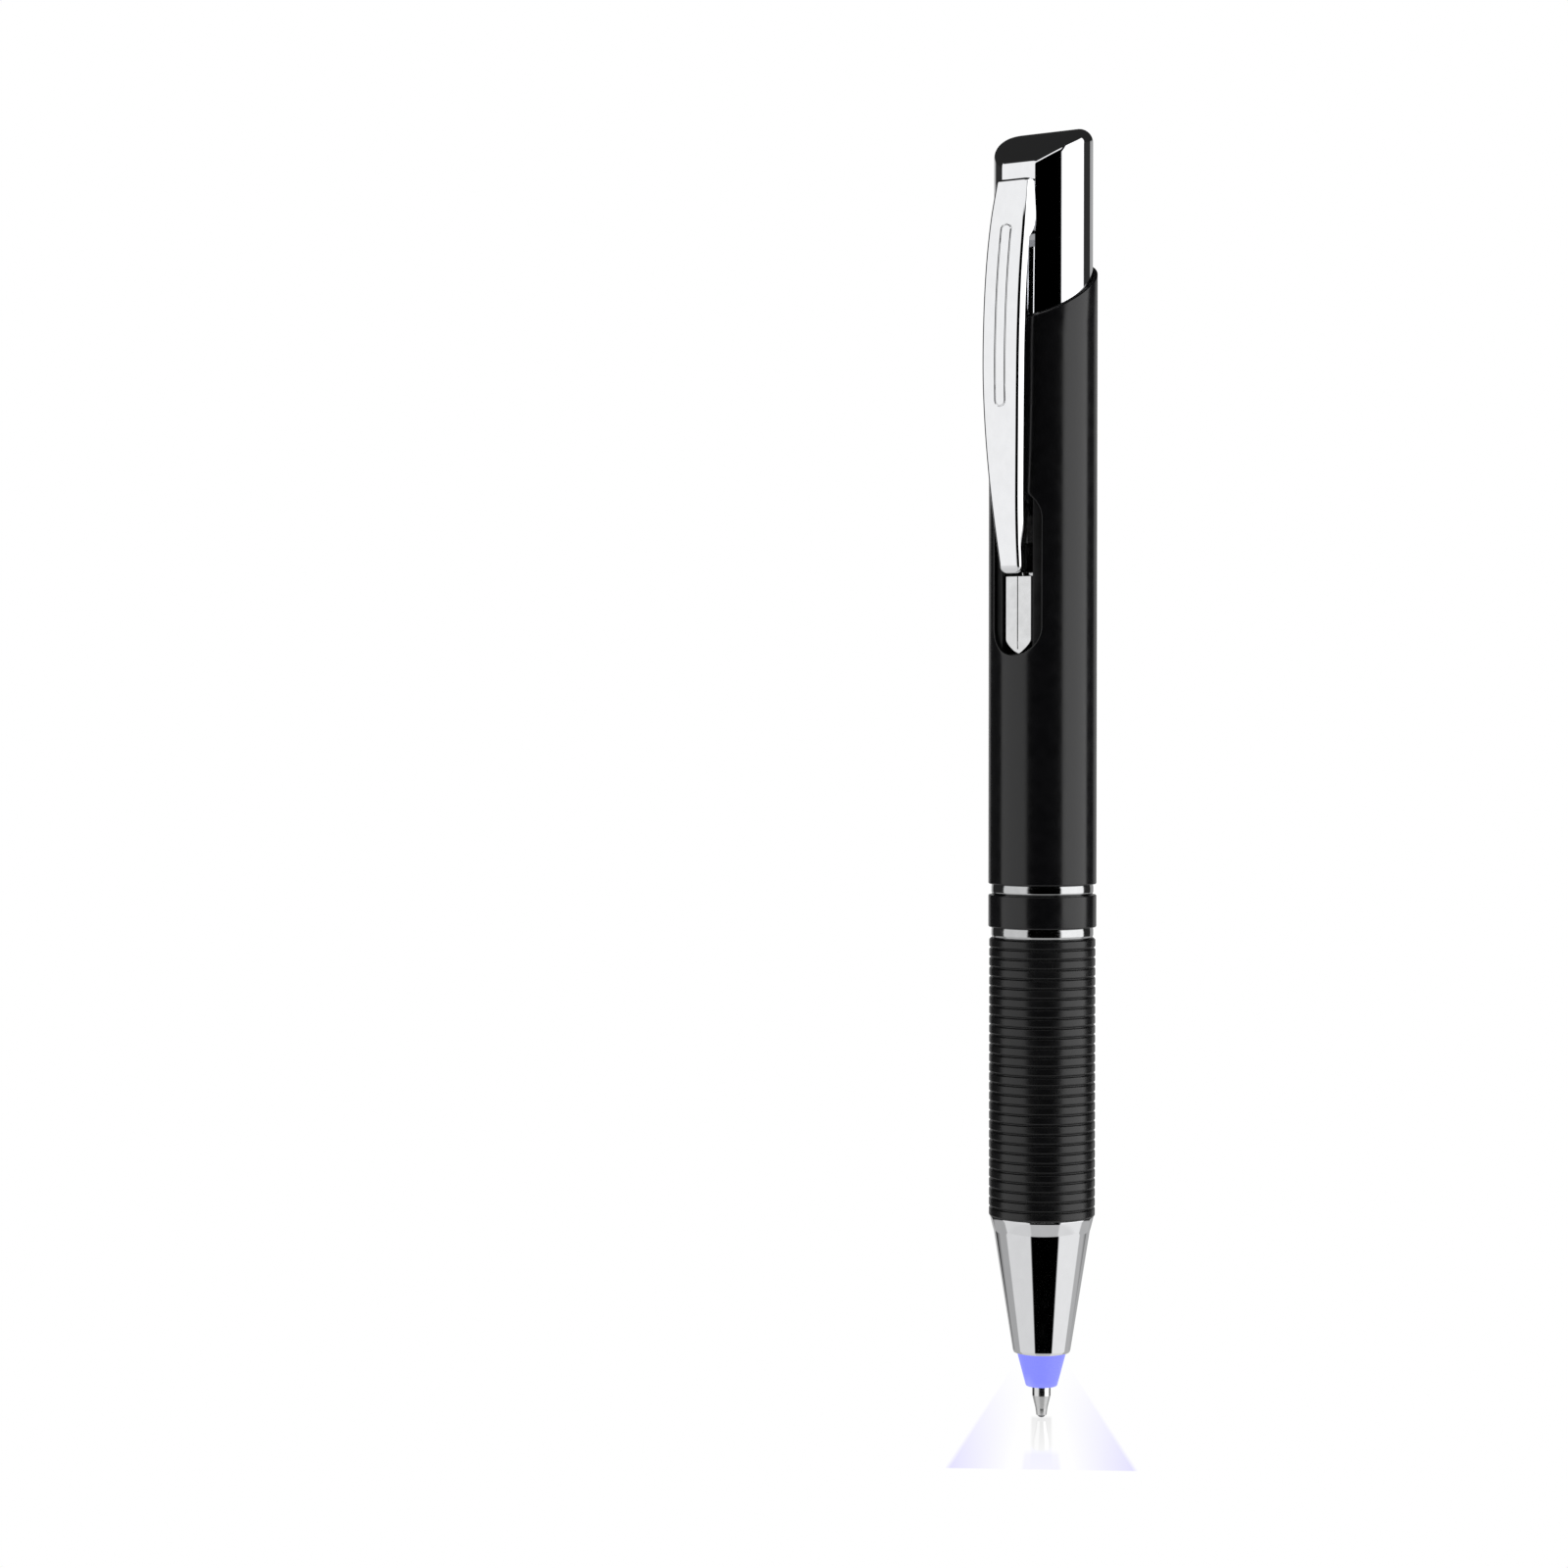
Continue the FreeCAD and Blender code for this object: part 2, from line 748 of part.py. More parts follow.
def upright_pegs(body, kind, top):
    """Two legs of the lower contact, or the holes they pass through, up to a height."""
    before = body.Shape.Volume
    sketch = new_sketch(body, "XY")
    bottom = S.holder_bottom + S.contact_thickness
    sketch.setExpression("AttachmentOffset.Base.z", bottom.text)
    for side in (1, -1):
        draw_circle(sketch, (S.contact_leg_out * side, 0), S.contact_leg_radius)
    made = feature(body, kind, sketch)
    made.Reversed = kind == "Pocket"
    bind(made, "Length", top - bottom)
    must_change(body, before, kind == "Pad")


def make_plunger_core():
    core = turned("plunger_core", [
        (0, S.core_bottom),
        (S.cell_radius, S.core_bottom),
        (S.cell_radius, S.holder_top),
        (S.holder_radius, S.holder_top),
        (S.holder_radius, S.core_waist),
        (S.liner_bore_radius, S.core_waist),
        (S.liner_bore_radius, S.core_top),
        (S.core_bore_radius, S.core_top),
        (S.core_bore_radius, S.core_bore_bottom),
        (0, S.core_bore_bottom),
    ])
    outside = S.holder_radius + PAST
    slab(core, "YZ", [[
        (-outside, S.holder_top),
        (-S.tab_pocket_floor, S.holder_top),
        (-S.tab_pocket_floor, S.tab_pocket_top),
        (-outside, S.tab_pocket_top),
    ]], S.tab_pocket_width, "Pocket")
    cross_hole(core, S.pin_radius, S.pin_length)
    pin = part_solid("Cylinder", "tab_pin", {"Radius": S.pin_radius, "Height": S.pin_length})
    pin.Label = "tab_pin"
    pin.Placement.Rotation = FreeCAD.Rotation(FreeCAD.Vector(0, 1, 0), 90)
    pin.setExpression("Placement.Base.x", (-S.pin_length / 2).text)
    pin.setExpression("Placement.Base.y", (-S.pin_out).text)
    lift(pin, S.pin_height)
    PIECES.append(pin)


def make_release_tab():
    """A tongue with a rounded lower end, thick where the thumb presses and thin above."""
    half = S.tab_width / 2
    tab = new_body("release_tab")
    from_axis(tab, [
        (-half, S.tab_bottom + half),
        (0, S.tab_bottom, "arc"),
        (half, S.tab_bottom + half),
        (half, S.tab_top),
        (-half, S.tab_top),
    ], S.tab_face_out, "Pad")
    above = S.tab_top + PAST
    below = S.tab_bottom - PAST
    slab(tab, "YZ", [
        [
            (PAST, below),
            (PAST, above),
            (-S.tab_root_inner_out, above),
            (-S.tab_root_inner_out, S.tab_taper_top),
            (-S.tab_inner_out, S.tab_taper_bottom),
            (-S.tab_inner_out, below),
        ],
        [
            (-S.tab_face_out, S.tab_face_top),
            (-S.tab_neck_out, S.tab_neck_bottom),
            (-S.tab_neck_out, above),
            (-S.tab_face_out - PAST, above),
            (-S.tab_face_out - PAST, S.tab_face_top),
        ],
    ], S.tab_width * 2, "Pocket")
    cross_hole(tab, S.pin_radius + S.pin_clearance, S.tab_width * 2)


# --- Push cap and pocket clip -----------------------------------------------------------------

def make_push_cap():
    cap = turned("push_cap", [
        (S.liner_bore_radius, S.cap_bottom),
        (S.cap_radius, S.cap_bottom),
        (S.cap_radius, S.cap_blank_top),
        (0, S.cap_blank_top),
        (0, S.core_top),
        (S.liner_bore_radius, S.core_top),
    ])
    sky = S.cap_blank_top + PAST
    reach = S.cap_radius + PAST
    slab(cap, "YZ", [[
        (-S.cap_radius, S.cap_front_height),
        (0, S.cap_middle_height, "arc"),
        (S.cap_radius, S.cap_back_height),
        (reach, S.cap_back_height),
        (reach, sky),
        (-reach, sky),
        (-reach, S.cap_front_height),
    ]], reach * 2, "Pocket")
    slab(cap, "YZ", [[
        (-reach, S.cap_flat_bottom),
        (-S.cap_flat_out, S.cap_flat_bottom),
        (-S.cap_flat_out, sky),
        (-reach, sky),
    ]], reach * 2, "Pocket")
    soften(cap, "Fillet", S.cap_edge, is_oblique_rim)


def is_oblique_rim(edge):
    """Picks the rim where the cap's tube and its flat meet the oblique top."""
    return edge.BoundBox.ZMin > S.cap_front_height.value - PAST / 2


def make_pocket_clip():
    clip = new_body("pocket_clip")
    slab(clip, "YZ", [[
        (-S.clip_root_out, S.clip_root_bottom),
        (-S.clip_root_out, S.clip_top),
        (-S.clip_top_out, S.clip_top),
        (-S.clip_shoulder_out, S.clip_shoulder_height, "arc"),
        (-S.clip_bow_out, S.clip_bow_height),
        (-S.clip_waist_out, S.clip_waist_height, "arc"),
        (-S.clip_foot_out, S.clip_foot_height),
        (-(S.clip_foot_out + S.clip_foot_back) / 2, S.clip_tip_height),
        (-S.clip_foot_back, S.clip_foot_height),
        (-S.clip_waist_back, S.clip_waist_height, "arc"),
        (-S.clip_bow_back, S.clip_bow_height),
        (-S.clip_back_out, S.clip_back_height, "arc"),
        (-S.clip_shoulder_back, S.clip_shoulder_height),
    ]], S.clip_shoulder_half_width * 2, "Pad")
    teeth = []
    for number in range(int(S.clip_teeth.value)):
        bottom = S.clip_tooth_bottom + S.clip_tooth_pitch * number
        teeth.append([
            (-S.clip_tooth_out, bottom),
            (-S.clip_foot_out, bottom),
            (-S.clip_foot_out, bottom + S.clip_tooth_pitch),
        ])
    slab(clip, "YZ", teeth, S.clip_foot_half_width * 2, "Pad")
    wide = S.clip_shoulder_half_width + PAST
    over = S.clip_top + PAST
    under = S.clip_tip_height - PAST
    slab(clip, "XZ", [
        [(-wide, under), (wide, under), (wide, over), (-wide, over)],
        [
            (-S.clip_foot_half_width, S.clip_foot_height),
            (0, S.clip_tip_height, "arc"),
            (S.clip_foot_half_width, S.clip_foot_height),
            (S.clip_waist_half_width, S.clip_waist_height, "arc"),
            (S.clip_bow_half_width, S.clip_bow_height),
            (S.clip_shoulder_half_width, S.clip_shoulder_height, "arc"),
            (S.clip_top_half_width, S.clip_top),
            (-S.clip_top_half_width, S.clip_top),
            (-S.clip_shoulder_half_width, S.clip_shoulder_height, "arc"),
            (-S.clip_bow_half_width, S.clip_bow_height),
            (-S.clip_waist_half_width, S.clip_waist_height, "arc"),
        ],
    ], (S.clip_bow_out + PAST) * 2, "Pocket")


# --- Build, check and write -------------------------------------------------------------------

def check_and_write():
    doc.recompute()
    for thing in doc.Objects:
        if "Invalid" in thing.State or "Error" in thing.State:
            raise RuntimeError(f"{thing.Name} failed: {thing.State}")
    labels = [piece.Label for piece in PIECES]
    if len(set(labels)) != len(labels):
        raise RuntimeError("two pieces share a label")
    for piece in PIECES:
        shape = piece.Shape
        if shape.isNull() or not shape.isValid() or shape.Volume <= 0:
            raise RuntimeError(f"{piece.Label} has no valid solid")
    os.makedirs("parts", exist_ok=True)
    for piece in PIECES:
        piece.Shape.exportStep(f"parts/{piece.Label}.step")
        print(f"{piece.Label}: {piece.Shape.Volume:.2f} mm3, {len(piece.Shape.Solids)} solid(s)")


make_ball()
make_refill_tip()
make_refill()
make_refill_spring()
make_light_guide()
make_nose_cone()
make_lamp()
make_insulator()
make_front_section()
make_upper_barrel()
make_battery_holder()
make_plunger_core()
make_release_tab()
make_push_cap()
make_pocket_clip()
check_and_write()
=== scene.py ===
import json
import math

import bmesh
import bpy
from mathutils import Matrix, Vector


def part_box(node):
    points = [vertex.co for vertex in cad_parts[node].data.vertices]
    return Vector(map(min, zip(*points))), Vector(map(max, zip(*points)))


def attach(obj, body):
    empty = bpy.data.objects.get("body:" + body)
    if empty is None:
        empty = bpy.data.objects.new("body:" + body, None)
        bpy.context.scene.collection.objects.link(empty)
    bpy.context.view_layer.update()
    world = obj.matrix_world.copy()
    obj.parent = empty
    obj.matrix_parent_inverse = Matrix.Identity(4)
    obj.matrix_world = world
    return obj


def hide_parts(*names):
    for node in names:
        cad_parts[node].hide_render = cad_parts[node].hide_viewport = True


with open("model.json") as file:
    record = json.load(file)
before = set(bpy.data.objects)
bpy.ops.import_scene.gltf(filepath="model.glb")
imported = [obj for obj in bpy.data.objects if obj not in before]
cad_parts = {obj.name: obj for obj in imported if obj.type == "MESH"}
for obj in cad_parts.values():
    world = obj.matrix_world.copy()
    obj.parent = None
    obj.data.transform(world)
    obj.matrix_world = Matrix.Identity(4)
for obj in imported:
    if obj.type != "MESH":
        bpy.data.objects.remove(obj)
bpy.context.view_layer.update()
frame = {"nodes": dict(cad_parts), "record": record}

MM = 0.001
NODES = frame["nodes"]


# --- Sizes taken from the frame ----------------------------------------------------------------

class Turned:
    """Outer radius, bottom and top of a node that is turned about the pen's axis."""

    def __init__(self, node):
        low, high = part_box(node)
        self.radius = high[0]
        self.bottom = low[2]
        self.top = high[2]


BARREL = Turned("upper_barrel")
LINER = Turned("barrel_liner")
BAND = Turned("centre_band")
LOWER_RING = Turned("lower_ring")
UPPER_RING = Turned("upper_ring")
GRIP = Turned("grip_sleeve")
INNER = Turned("inner_barrel")
NOSE = Turned("nose_cone")
GUIDE = Turned("light_guide")
TIP = Turned("refill_tip")
BALL = Turned("ball")
CAP = Turned("push_cap")
CORE = Turned("plunger_core")
CONNECTOR = Turned("threaded_connector")
TAB_LOW, TAB_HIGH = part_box("release_tab")
CLIP_LOW, CLIP_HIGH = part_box("pocket_clip")

GUIDE_SEAT = 2.72 * MM      # radius of the light guide where the nose holds it
FLANGE_BOTTOM = 9.0 * MM
CIRCUIT_BORE = 3.85 * MM    # bore that holds the lamp circuit's tube
SPIGOT = 4.5 * MM           # radius where the nose and the connector enter the inner barrel
CAP_RADIUS = 5.33 * MM

TURN = 2 * math.pi
FINE = 256          # columns round the parts that show most
EDGE_STEPS = 4      # segments in a small rounded edge


# --- Mesh helpers ------------------------------------------------------------------------------

def new_piece(name, verts, faces, body, material, sharp=math.radians(38), weighted=True):
    """A smooth-shaded mesh in metres that rides on a CAD body and wears a record slot's finish."""
    mesh = bpy.data.meshes.new(name)
    mesh.from_pydata([tuple(v) for v in verts], [], faces)
    mesh.validate()
    work = bmesh.new()
    work.from_mesh(mesh)
    bmesh.ops.recalc_face_normals(work, faces=work.faces)
    work.to_mesh(mesh)
    work.free()
    mesh.polygons.foreach_set("use_smooth", [True] * len(mesh.polygons))
    mesh.set_sharp_from_angle(angle=sharp)
    piece = bpy.data.objects.new(name, mesh)
    bpy.context.scene.collection.objects.link(piece)
    mesh.materials.append(material)
    if weighted:
        normals = piece.modifiers.new("even normals", "WEIGHTED_NORMAL")
        normals.keep_sharp = True
        normals.weight = 100
    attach(piece, body)
    return piece


def rounded(corners):
    """Points of an outline whose corners are (r, z) or (r, z, radius of the rounding there)."""
    points = []
    count = len(corners)
    for index, corner in enumerate(corners):
        here = Vector(corner[:2])
        if len(corner) < 3:
            points.append(here)
            continue
        before = Vector(corners[index - 1][:2])
        after = Vector(corners[(index + 1) % count][:2])
        to_before = (before - here).normalized()
        to_after = (after - here).normalized()
        half = to_before.angle(to_after) / 2
        reach = corner[2] / math.tan(half)
        centre = here + (to_before + to_after).normalized() * (corner[2] / math.sin(half))
        start = here + to_before * reach - centre
        finish = here + to_after * reach - centre
        sweep = start.angle_signed(finish)
        for step in range(EDGE_STEPS + 1):
            angle = -sweep * step / EDGE_STEPS
            turned = Vector((
                start.x * math.cos(angle) - start.y * math.sin(angle),
                start.x * math.sin(angle) + start.y * math.cos(angle)))
            points.append(centre + turned)
    return points


def spin(points, columns=FINE):
    """Vertices and faces of a closed outline turned about the pen's axis."""
    verts = []
    for column in range(columns):
        angle = TURN * column / columns
        for point in points:
            verts.append((point[0] * math.sin(angle), -point[0] * math.cos(angle), point[1]))
    rows = len(points)
    faces = []
    for column in range(columns):
        here = column * rows
        there = (column + 1) % columns * rows
        for row in range(rows):
            up = (row + 1) % rows
            faces.append((here + row, there + row, there + up, here + up))
    return verts, faces


def lathe(name, points, body, material, columns=FINE):
    verts, faces = spin(points, columns)
    return new_piece(name, verts, faces, body, material)


def skin(rings):
    """Vertices and faces of a closed skin over rings that all have the same number of points."""
    verts = [point for ring in rings for point in ring]
    count = len(rings[0])
    faces = []
    for index in range(len(rings) - 1):
        low = index * count
        high = low + count
        for k in range(count):
            faces.append((low + k, low + (k + 1) % count, high + (k + 1) % count, high + k))
    faces.append(tuple(reversed(range(count))))
    last = (len(rings) - 1) * count
    faces.append(tuple(range(last, last + count)))
    return verts, faces


def span(start, stop, count):
    return [start + (stop - start) * step / count for step in range(count + 1)]


def smoothstep(low, high, value):
    share = min(max((value - low) / (high - low), 0.0), 1.0)
    return share * share * (3 - 2 * share)


def curve_through(stops, value):
    """A smooth curve through (place, size) stops: a Catmull-Rom spline read at one place."""
    places = [stop[0] for stop in stops]
    index = max(i for i in range(len(stops) - 1) if value >= places[i] or i == 0)
    index = min(index, len(stops) - 2)
    gap = places[index + 1] - places[index]
    share = min(max((value - places[index]) / gap, 0.0), 1.0)

    def slope(i):
        low = max(i - 1, 0)
        high = min(i + 1, len(stops) - 1)
        return (stops[high][1] - stops[low][1]) / (places[high] - places[low])

    a, b = stops[index][1], stops[index + 1][1]
    square = share * share
    cube = square * share
    return ((2 * cube - 3 * square + 1) * a + (cube - 2 * square + share) * gap * slope(index)
            + (3 * square - 2 * cube) * b + (cube - square) * gap * slope(index + 1))


# --- Materials ---------------------------------------------------------------------------------

def material(name):
    made = bpy.data.materials.new(name)
    made.use_nodes = True
    tree = made.node_tree
    return made, tree, tree.nodes["Principled BSDF"]


def add(tree, kind, **sockets):
    node = tree.nodes.new(f"ShaderNode{kind}")
    for key, value in sockets.items():
        node.inputs[key.replace("_", " ")].default_value = value
    return node


def place_in_piece(tree, scale=(1, 1, 1)):
    """Coordinates in the piece itself, in metres, stretched by scale."""
    where = tree.nodes.new("ShaderNodeTexCoord")
    stretch = tree.nodes.new("ShaderNodeMapping")
    stretch.inputs["Scale"].default_value = scale
    tree.links.new(where.outputs["Object"], stretch.inputs["Vector"])
    return stretch.outputs["Vector"]


def noise(tree, grain, detail=3.0, stretch=(1, 1, 1)):
    """Noise with features of about grain metres."""
    made = add(tree, "TexNoise", Scale=1 / grain, Detail=detail)
    tree.links.new(place_in_piece(tree, stretch), made.inputs["Vector"])
    return made.outputs["Fac"]


def ramp(tree, source, low, high, low_value, high_value):
    made = tree.nodes.new("ShaderNodeMapRange")
    made.inputs["From Min"].default_value = low
    made.inputs["From Max"].default_value = high
    made.inputs["To Min"].default_value = low_value
    made.inputs["To Max"].default_value = high_value
    tree.links.new(source, made.inputs["Value"])
    return made.outputs["Result"]


def tint(tree, source, low_colour, high_colour, low=0.35, high=0.65):
    made = tree.nodes.new("ShaderNodeValToRGB")
    made.color_ramp.elements[0].position = low
    made.color_ramp.elements[0].color = (*low_colour, 1)
    made.color_ramp.elements[1].position = high
    made.color_ramp.elements[1].color = (*high_colour, 1)
    tree.links.new(source, made.inputs["Fac"])
    return made.outputs["Color"]


def bump(tree, shader, height, distance, strength=1.0):
    made = add(tree, "Bump", Strength=strength, Distance=distance)
    tree.links.new(height, made.inputs["Height"])
    tree.links.new(made.outputs["Normal"], shader.inputs["Normal"])


def metal(name, colour, roughness, grain, stretch=(1, 1, 1), spread=0.3, depth=0.0004 * MM,
          mottle=0.93):
    """Bare or plated metal: fine scratches vary its roughness and a little of its tone."""
    made, tree, shader = material(name)
    scratches = noise(tree, grain, 4.0, stretch)
    darker = tuple(channel * mottle for channel in colour)
    tree.links.new(tint(tree, scratches, darker, colour), shader.inputs["Base Color"])
    low, high = roughness * (1 - spread), roughness * (1 + spread)
    tree.links.new(ramp(tree, scratches, 0.3, 0.7, low, high), shader.inputs["Roughness"])
    shader.inputs["Metallic"].default_value = 1.0
    bump(tree, shader, scratches, depth)
    return made


def plastic(name, colour, roughness, grain, depth, specular=0.5, spread=0.15):
    """Moulded plastic or rubber with a fine grain."""
    made, tree, shader = material(name)
    texture = noise(tree, grain, 5.0)
    patches = noise(tree, grain * 25, 2.0)
    lighter = tuple(channel * 1.25 for channel in colour)
    tree.links.new(tint(tree, patches, colour, lighter), shader.inputs["Base Color"])
    low, high = roughness * (1 - spread), roughness * (1 + spread)
    tree.links.new(ramp(tree, patches, 0.3, 0.7, low, high), shader.inputs["Roughness"])
    shader.inputs["Specular IOR Level"].default_value = specular
    bump(tree, shader, texture, depth)
    return made


def lit_guide(name):
    """Clear plastic lit from inside: soft upright streaks, a deeper violet at its seat."""
    made, tree, shader = material(name)
    where = tree.nodes.new("ShaderNodeTexCoord")
    split = tree.nodes.new("ShaderNodeSeparateXYZ")
    tree.links.new(where.outputs["Object"], split.inputs["Vector"])
    height = ramp(tree, split.outputs["Z"], GUIDE.bottom, NOSE.bottom, 0.0, 1.0)
    streaks = noise(tree, 1.5 * MM, 1.0, (1, 1, 0.12))
    mixed = add(tree, "Math")
    mixed.operation = "MULTIPLY_ADD"
    tree.links.new(streaks, mixed.inputs[0])
    mixed.inputs[1].default_value = 1.3
    tree.links.new(height, mixed.inputs[2])
    glow = tint(tree, mixed.outputs["Value"], (0.33, 0.36, 0.98), (0.19, 0.21, 0.93), 0.3, 1.6)
    tree.links.new(glow, shader.inputs["Emission Color"])
    shader.inputs["Emission Strength"].default_value = 0.86
    shader.inputs["Base Color"].default_value = (0.16, 0.17, 0.80, 1)
    shader.inputs["Roughness"].default_value = 0.3
    shader.inputs["Specular IOR Level"].default_value = 0.35
    bump(tree, shader, streaks, 0.02 * MM)
    return made


MATERIALS = {
    "anodised_black": plastic("satin black anodising", (0.006, 0.006, 0.0068), 0.2, 0.05 * MM,
                              0.0006 * MM, specular=0.5),
    "chrome": metal("polished chrome", (0.90, 0.905, 0.92), 0.04, 0.9 * MM, (1, 1, 0.6),
                    depth=0.0003 * MM, mottle=0.97),
    "grip_rubber": plastic("moulded rubber", (0.0065, 0.0065, 0.007), 0.26, 0.07 * MM, 0.004 * MM,
                           specular=0.5),
    "guide_clear": lit_guide("lit clear plastic"),
    "black_plastic": plastic("black plastic", (0.006, 0.006, 0.0065), 0.42, 0.1 * MM, 0.002 * MM),
    "natural_plastic": plastic("milky plastic", (0.62, 0.63, 0.62), 0.35, 0.12 * MM, 0.002 * MM),
    "brass": metal("turned brass", (0.80, 0.60, 0.28), 0.22, 0.12 * MM, (0.1, 0.1, 1.0)),
    "nickel_silver": metal("turned nickel silver", (0.80, 0.80, 0.80), 0.2, 0.1 * MM,
                           (0.1, 0.1, 1.0)),
    "steel": metal("drawn steel", (0.60, 0.61, 0.63), 0.25, 0.1 * MM, (1.0, 1.0, 0.1)),
    "carbide": metal("ground ball", (0.25, 0.25, 0.27), 0.12, 0.05 * MM),
    "ink": plastic("clear ink", (0.70, 0.72, 0.80), 0.12, 0.2 * MM, 0.0005 * MM),
    "circuit_board": plastic("solder mask", (0.02, 0.13, 0.05), 0.3, 0.1 * MM, 0.003 * MM),
    "led": plastic("LED package", (0.60, 0.62, 0.90), 0.25, 0.08 * MM, 0.002 * MM),
    "cell_steel": metal("pressed cell can", (0.70, 0.71, 0.73), 0.2, 0.15 * MM),
}


WORN_CHROME = metal("handled chrome", (0.76, 0.765, 0.77), 0.09, 1.4 * MM, depth=0.001 * MM,
                    mottle=0.9)


SATIN_CHROME = metal("satin chrome", (0.55, 0.555, 0.56), 0.1, 0.9 * MM, (1, 1, 0.6),
                     depth=0.0003 * MM)


def dress_cad_nodes():
    """Every node that stays as CAD made it wears its slot's material."""
    for entry in frame["record"]["subparts"]:
        node = NODES[entry["node"]]
        node.data.materials.clear()
        node.data.materials.append(MATERIALS[entry["material_slot"]])


def stand_for(piece, *nodes):
    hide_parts(*nodes)
    return piece


def turned_piece(name, node, corners, body, slot, columns=FINE):
    made = lathe(name, rounded(corners), body, MATERIALS[slot], columns)
    return stand_for(made, node)


# --- Writing tip and light guide ---------------------------------------------------------------

def build_tip():
    """The refill's cone with its crimped rim, and the ball in it."""
    rim = 0.56 * MM
    rim_bottom = 0.30 * MM
    plug = 0.875 * MM           # the end that is pressed into the refill tube
    plug_bottom = 11.0 * MM
    channel = 0.25 * MM
    corners = [
        (0.49 * MM, rim_bottom),
        (rim, rim_bottom, 0.03 * MM),
        (0.66 * MM, 1.05 * MM, 0.2 * MM),
        (TIP.radius, 2.45 * MM, 0.12 * MM),
        (TIP.radius, plug_bottom),
        (plug, plug_bottom),
        (plug, TIP.top),
        (channel, TIP.top),
        (channel, 0.967 * MM),
        (0.47 * MM, 0.74 * MM),
        (0.53 * MM, 0.50 * MM),
    ]
    turned_piece("tip_cone", "refill_tip", corners, "refill", "nickel_silver", 128)
    radius = BALL.radius
    steps = 24
    arc = []
    for step in range(steps + 1):
        angle = math.pi * step / steps
        arc.append(Vector((max(radius * math.sin(angle), 1e-7), radius - radius * math.cos(angle))))
    ball = lathe("rolling_ball", arc, "writing_ball", MATERIALS["carbide"], 48)
    stand_for(ball, "ball")


def build_light_guide():
    bore = 1.08 * MM
    seat = NOSE.bottom
    corners = [
        (bore, GUIDE.bottom, 0.08 * MM),
        (1.7 * MM, GUIDE.bottom, 0.14 * MM),
        (GUIDE_SEAT * 0.985, seat),
        (GUIDE_SEAT, seat + 0.05 * MM),
        (GUIDE_SEAT, FLANGE_BOTTOM),
        (GUIDE.radius, FLANGE_BOTTOM),
        (GUIDE.radius, GUIDE.top),
        (bore, GUIDE.top),
    ]
    turned_piece("glowing_guide", "light_guide", corners, "front_section", "guide_clear", 192)


# --- Nose, grip and rings ----------------------------------------------------------------------

def build_nose():
    """A straight cone, a crease, and a collar that flares out to the grip."""
    seat = GRIP.bottom
    crease = (5.2 * MM, 20.4 * MM)
    end = 3.1 * MM
    flange = 3.0 * MM
    flange_top = 14.6 * MM
    board_bed = 3.4 * MM
    board_top = 15.4 * MM
    collar = []
    for share in span(0.0, 1.0, 6)[1:-1]:
        swell = share + 0.16 * share * (1 - share)
        collar.append((crease[0] + (NOSE.radius - crease[0]) * swell,
                       crease[1] + (seat - crease[1]) * share))
    corners = [
        (GUIDE_SEAT, NOSE.bottom),
        (end - 0.05 * MM, NOSE.bottom, 0.12 * MM),
        (end + 0.04 * MM, NOSE.bottom + 0.3 * MM, 0.6 * MM),
        crease,
        *collar,
        (NOSE.radius, seat, 0.05 * MM),
        (SPIGOT, seat),
        (SPIGOT, NOSE.top),
        (CIRCUIT_BORE, NOSE.top),
        (CIRCUIT_BORE, board_top),
        (board_bed, board_top),
        (board_bed, flange_top),
        (flange, flange_top),
        (flange, FLANGE_BOTTOM),
        (GUIDE_SEAT, FLANGE_BOTTOM),
    ]
    turned_piece("chrome_nose", "nose_cone", corners, "front_section", "chrome")


def build_grip():
    """Twenty-nine low rounded ribs with shallow valleys between them."""
    ribs = 29
    depth = 0.17 * MM
    pitch = (GRIP.top - GRIP.bottom) / ribs
    samples = 20
    points = [Vector((INNER.radius, GRIP.bottom))]
    for rib in range(ribs):
        for sample in range(samples):
            share = sample / samples
            sink = (0.5 + 0.5 * math.cos(TURN * share)) ** 10
            points.append(Vector((GRIP.radius - depth * sink,
                                  GRIP.bottom + (rib + share) * pitch)))
    points.append(Vector((GRIP.radius - depth, GRIP.top)))
    points.append(Vector((INNER.radius, GRIP.top)))
    verts, faces = spin(points)
    sleeve = new_piece("ribbed_grip", verts, faces, "front_section",
                       MATERIALS["grip_rubber"], sharp=math.radians(80), weighted=False)
    stand_for(sleeve, "grip_sleeve")


def build_rings():
    """Two crowned chrome rings and the black band between them."""
    bore = INNER.radius
    for name, node, ring in (("ring_below_band", "lower_ring", LOWER_RING),
                             ("ring_above_band", "upper_ring", UPPER_RING)):
        bevel = (ring.top - ring.bottom) * 0.28
        made = lathe(name, rounded([
            (bore, ring.bottom),
            (ring.radius - 0.105 * MM, ring.bottom, 0.03 * MM),
            (ring.radius, ring.bottom + bevel, 0.3 * MM),
            (ring.radius, ring.top - bevel, 0.3 * MM),
            (ring.radius - 0.05 * MM, ring.top, 0.03 * MM),
            (bore, ring.top),
        ]), "front_section", SATIN_CHROME)
        stand_for(made, node)
    turned_piece("black_band", "centre_band", [
        (bore, BAND.bottom),
        (BAND.radius, BAND.bottom, 0.14 * MM),
        (BAND.radius, BAND.top, 0.14 * MM),
        (bore, BAND.top),
    ], "front_section", "anodised_black")


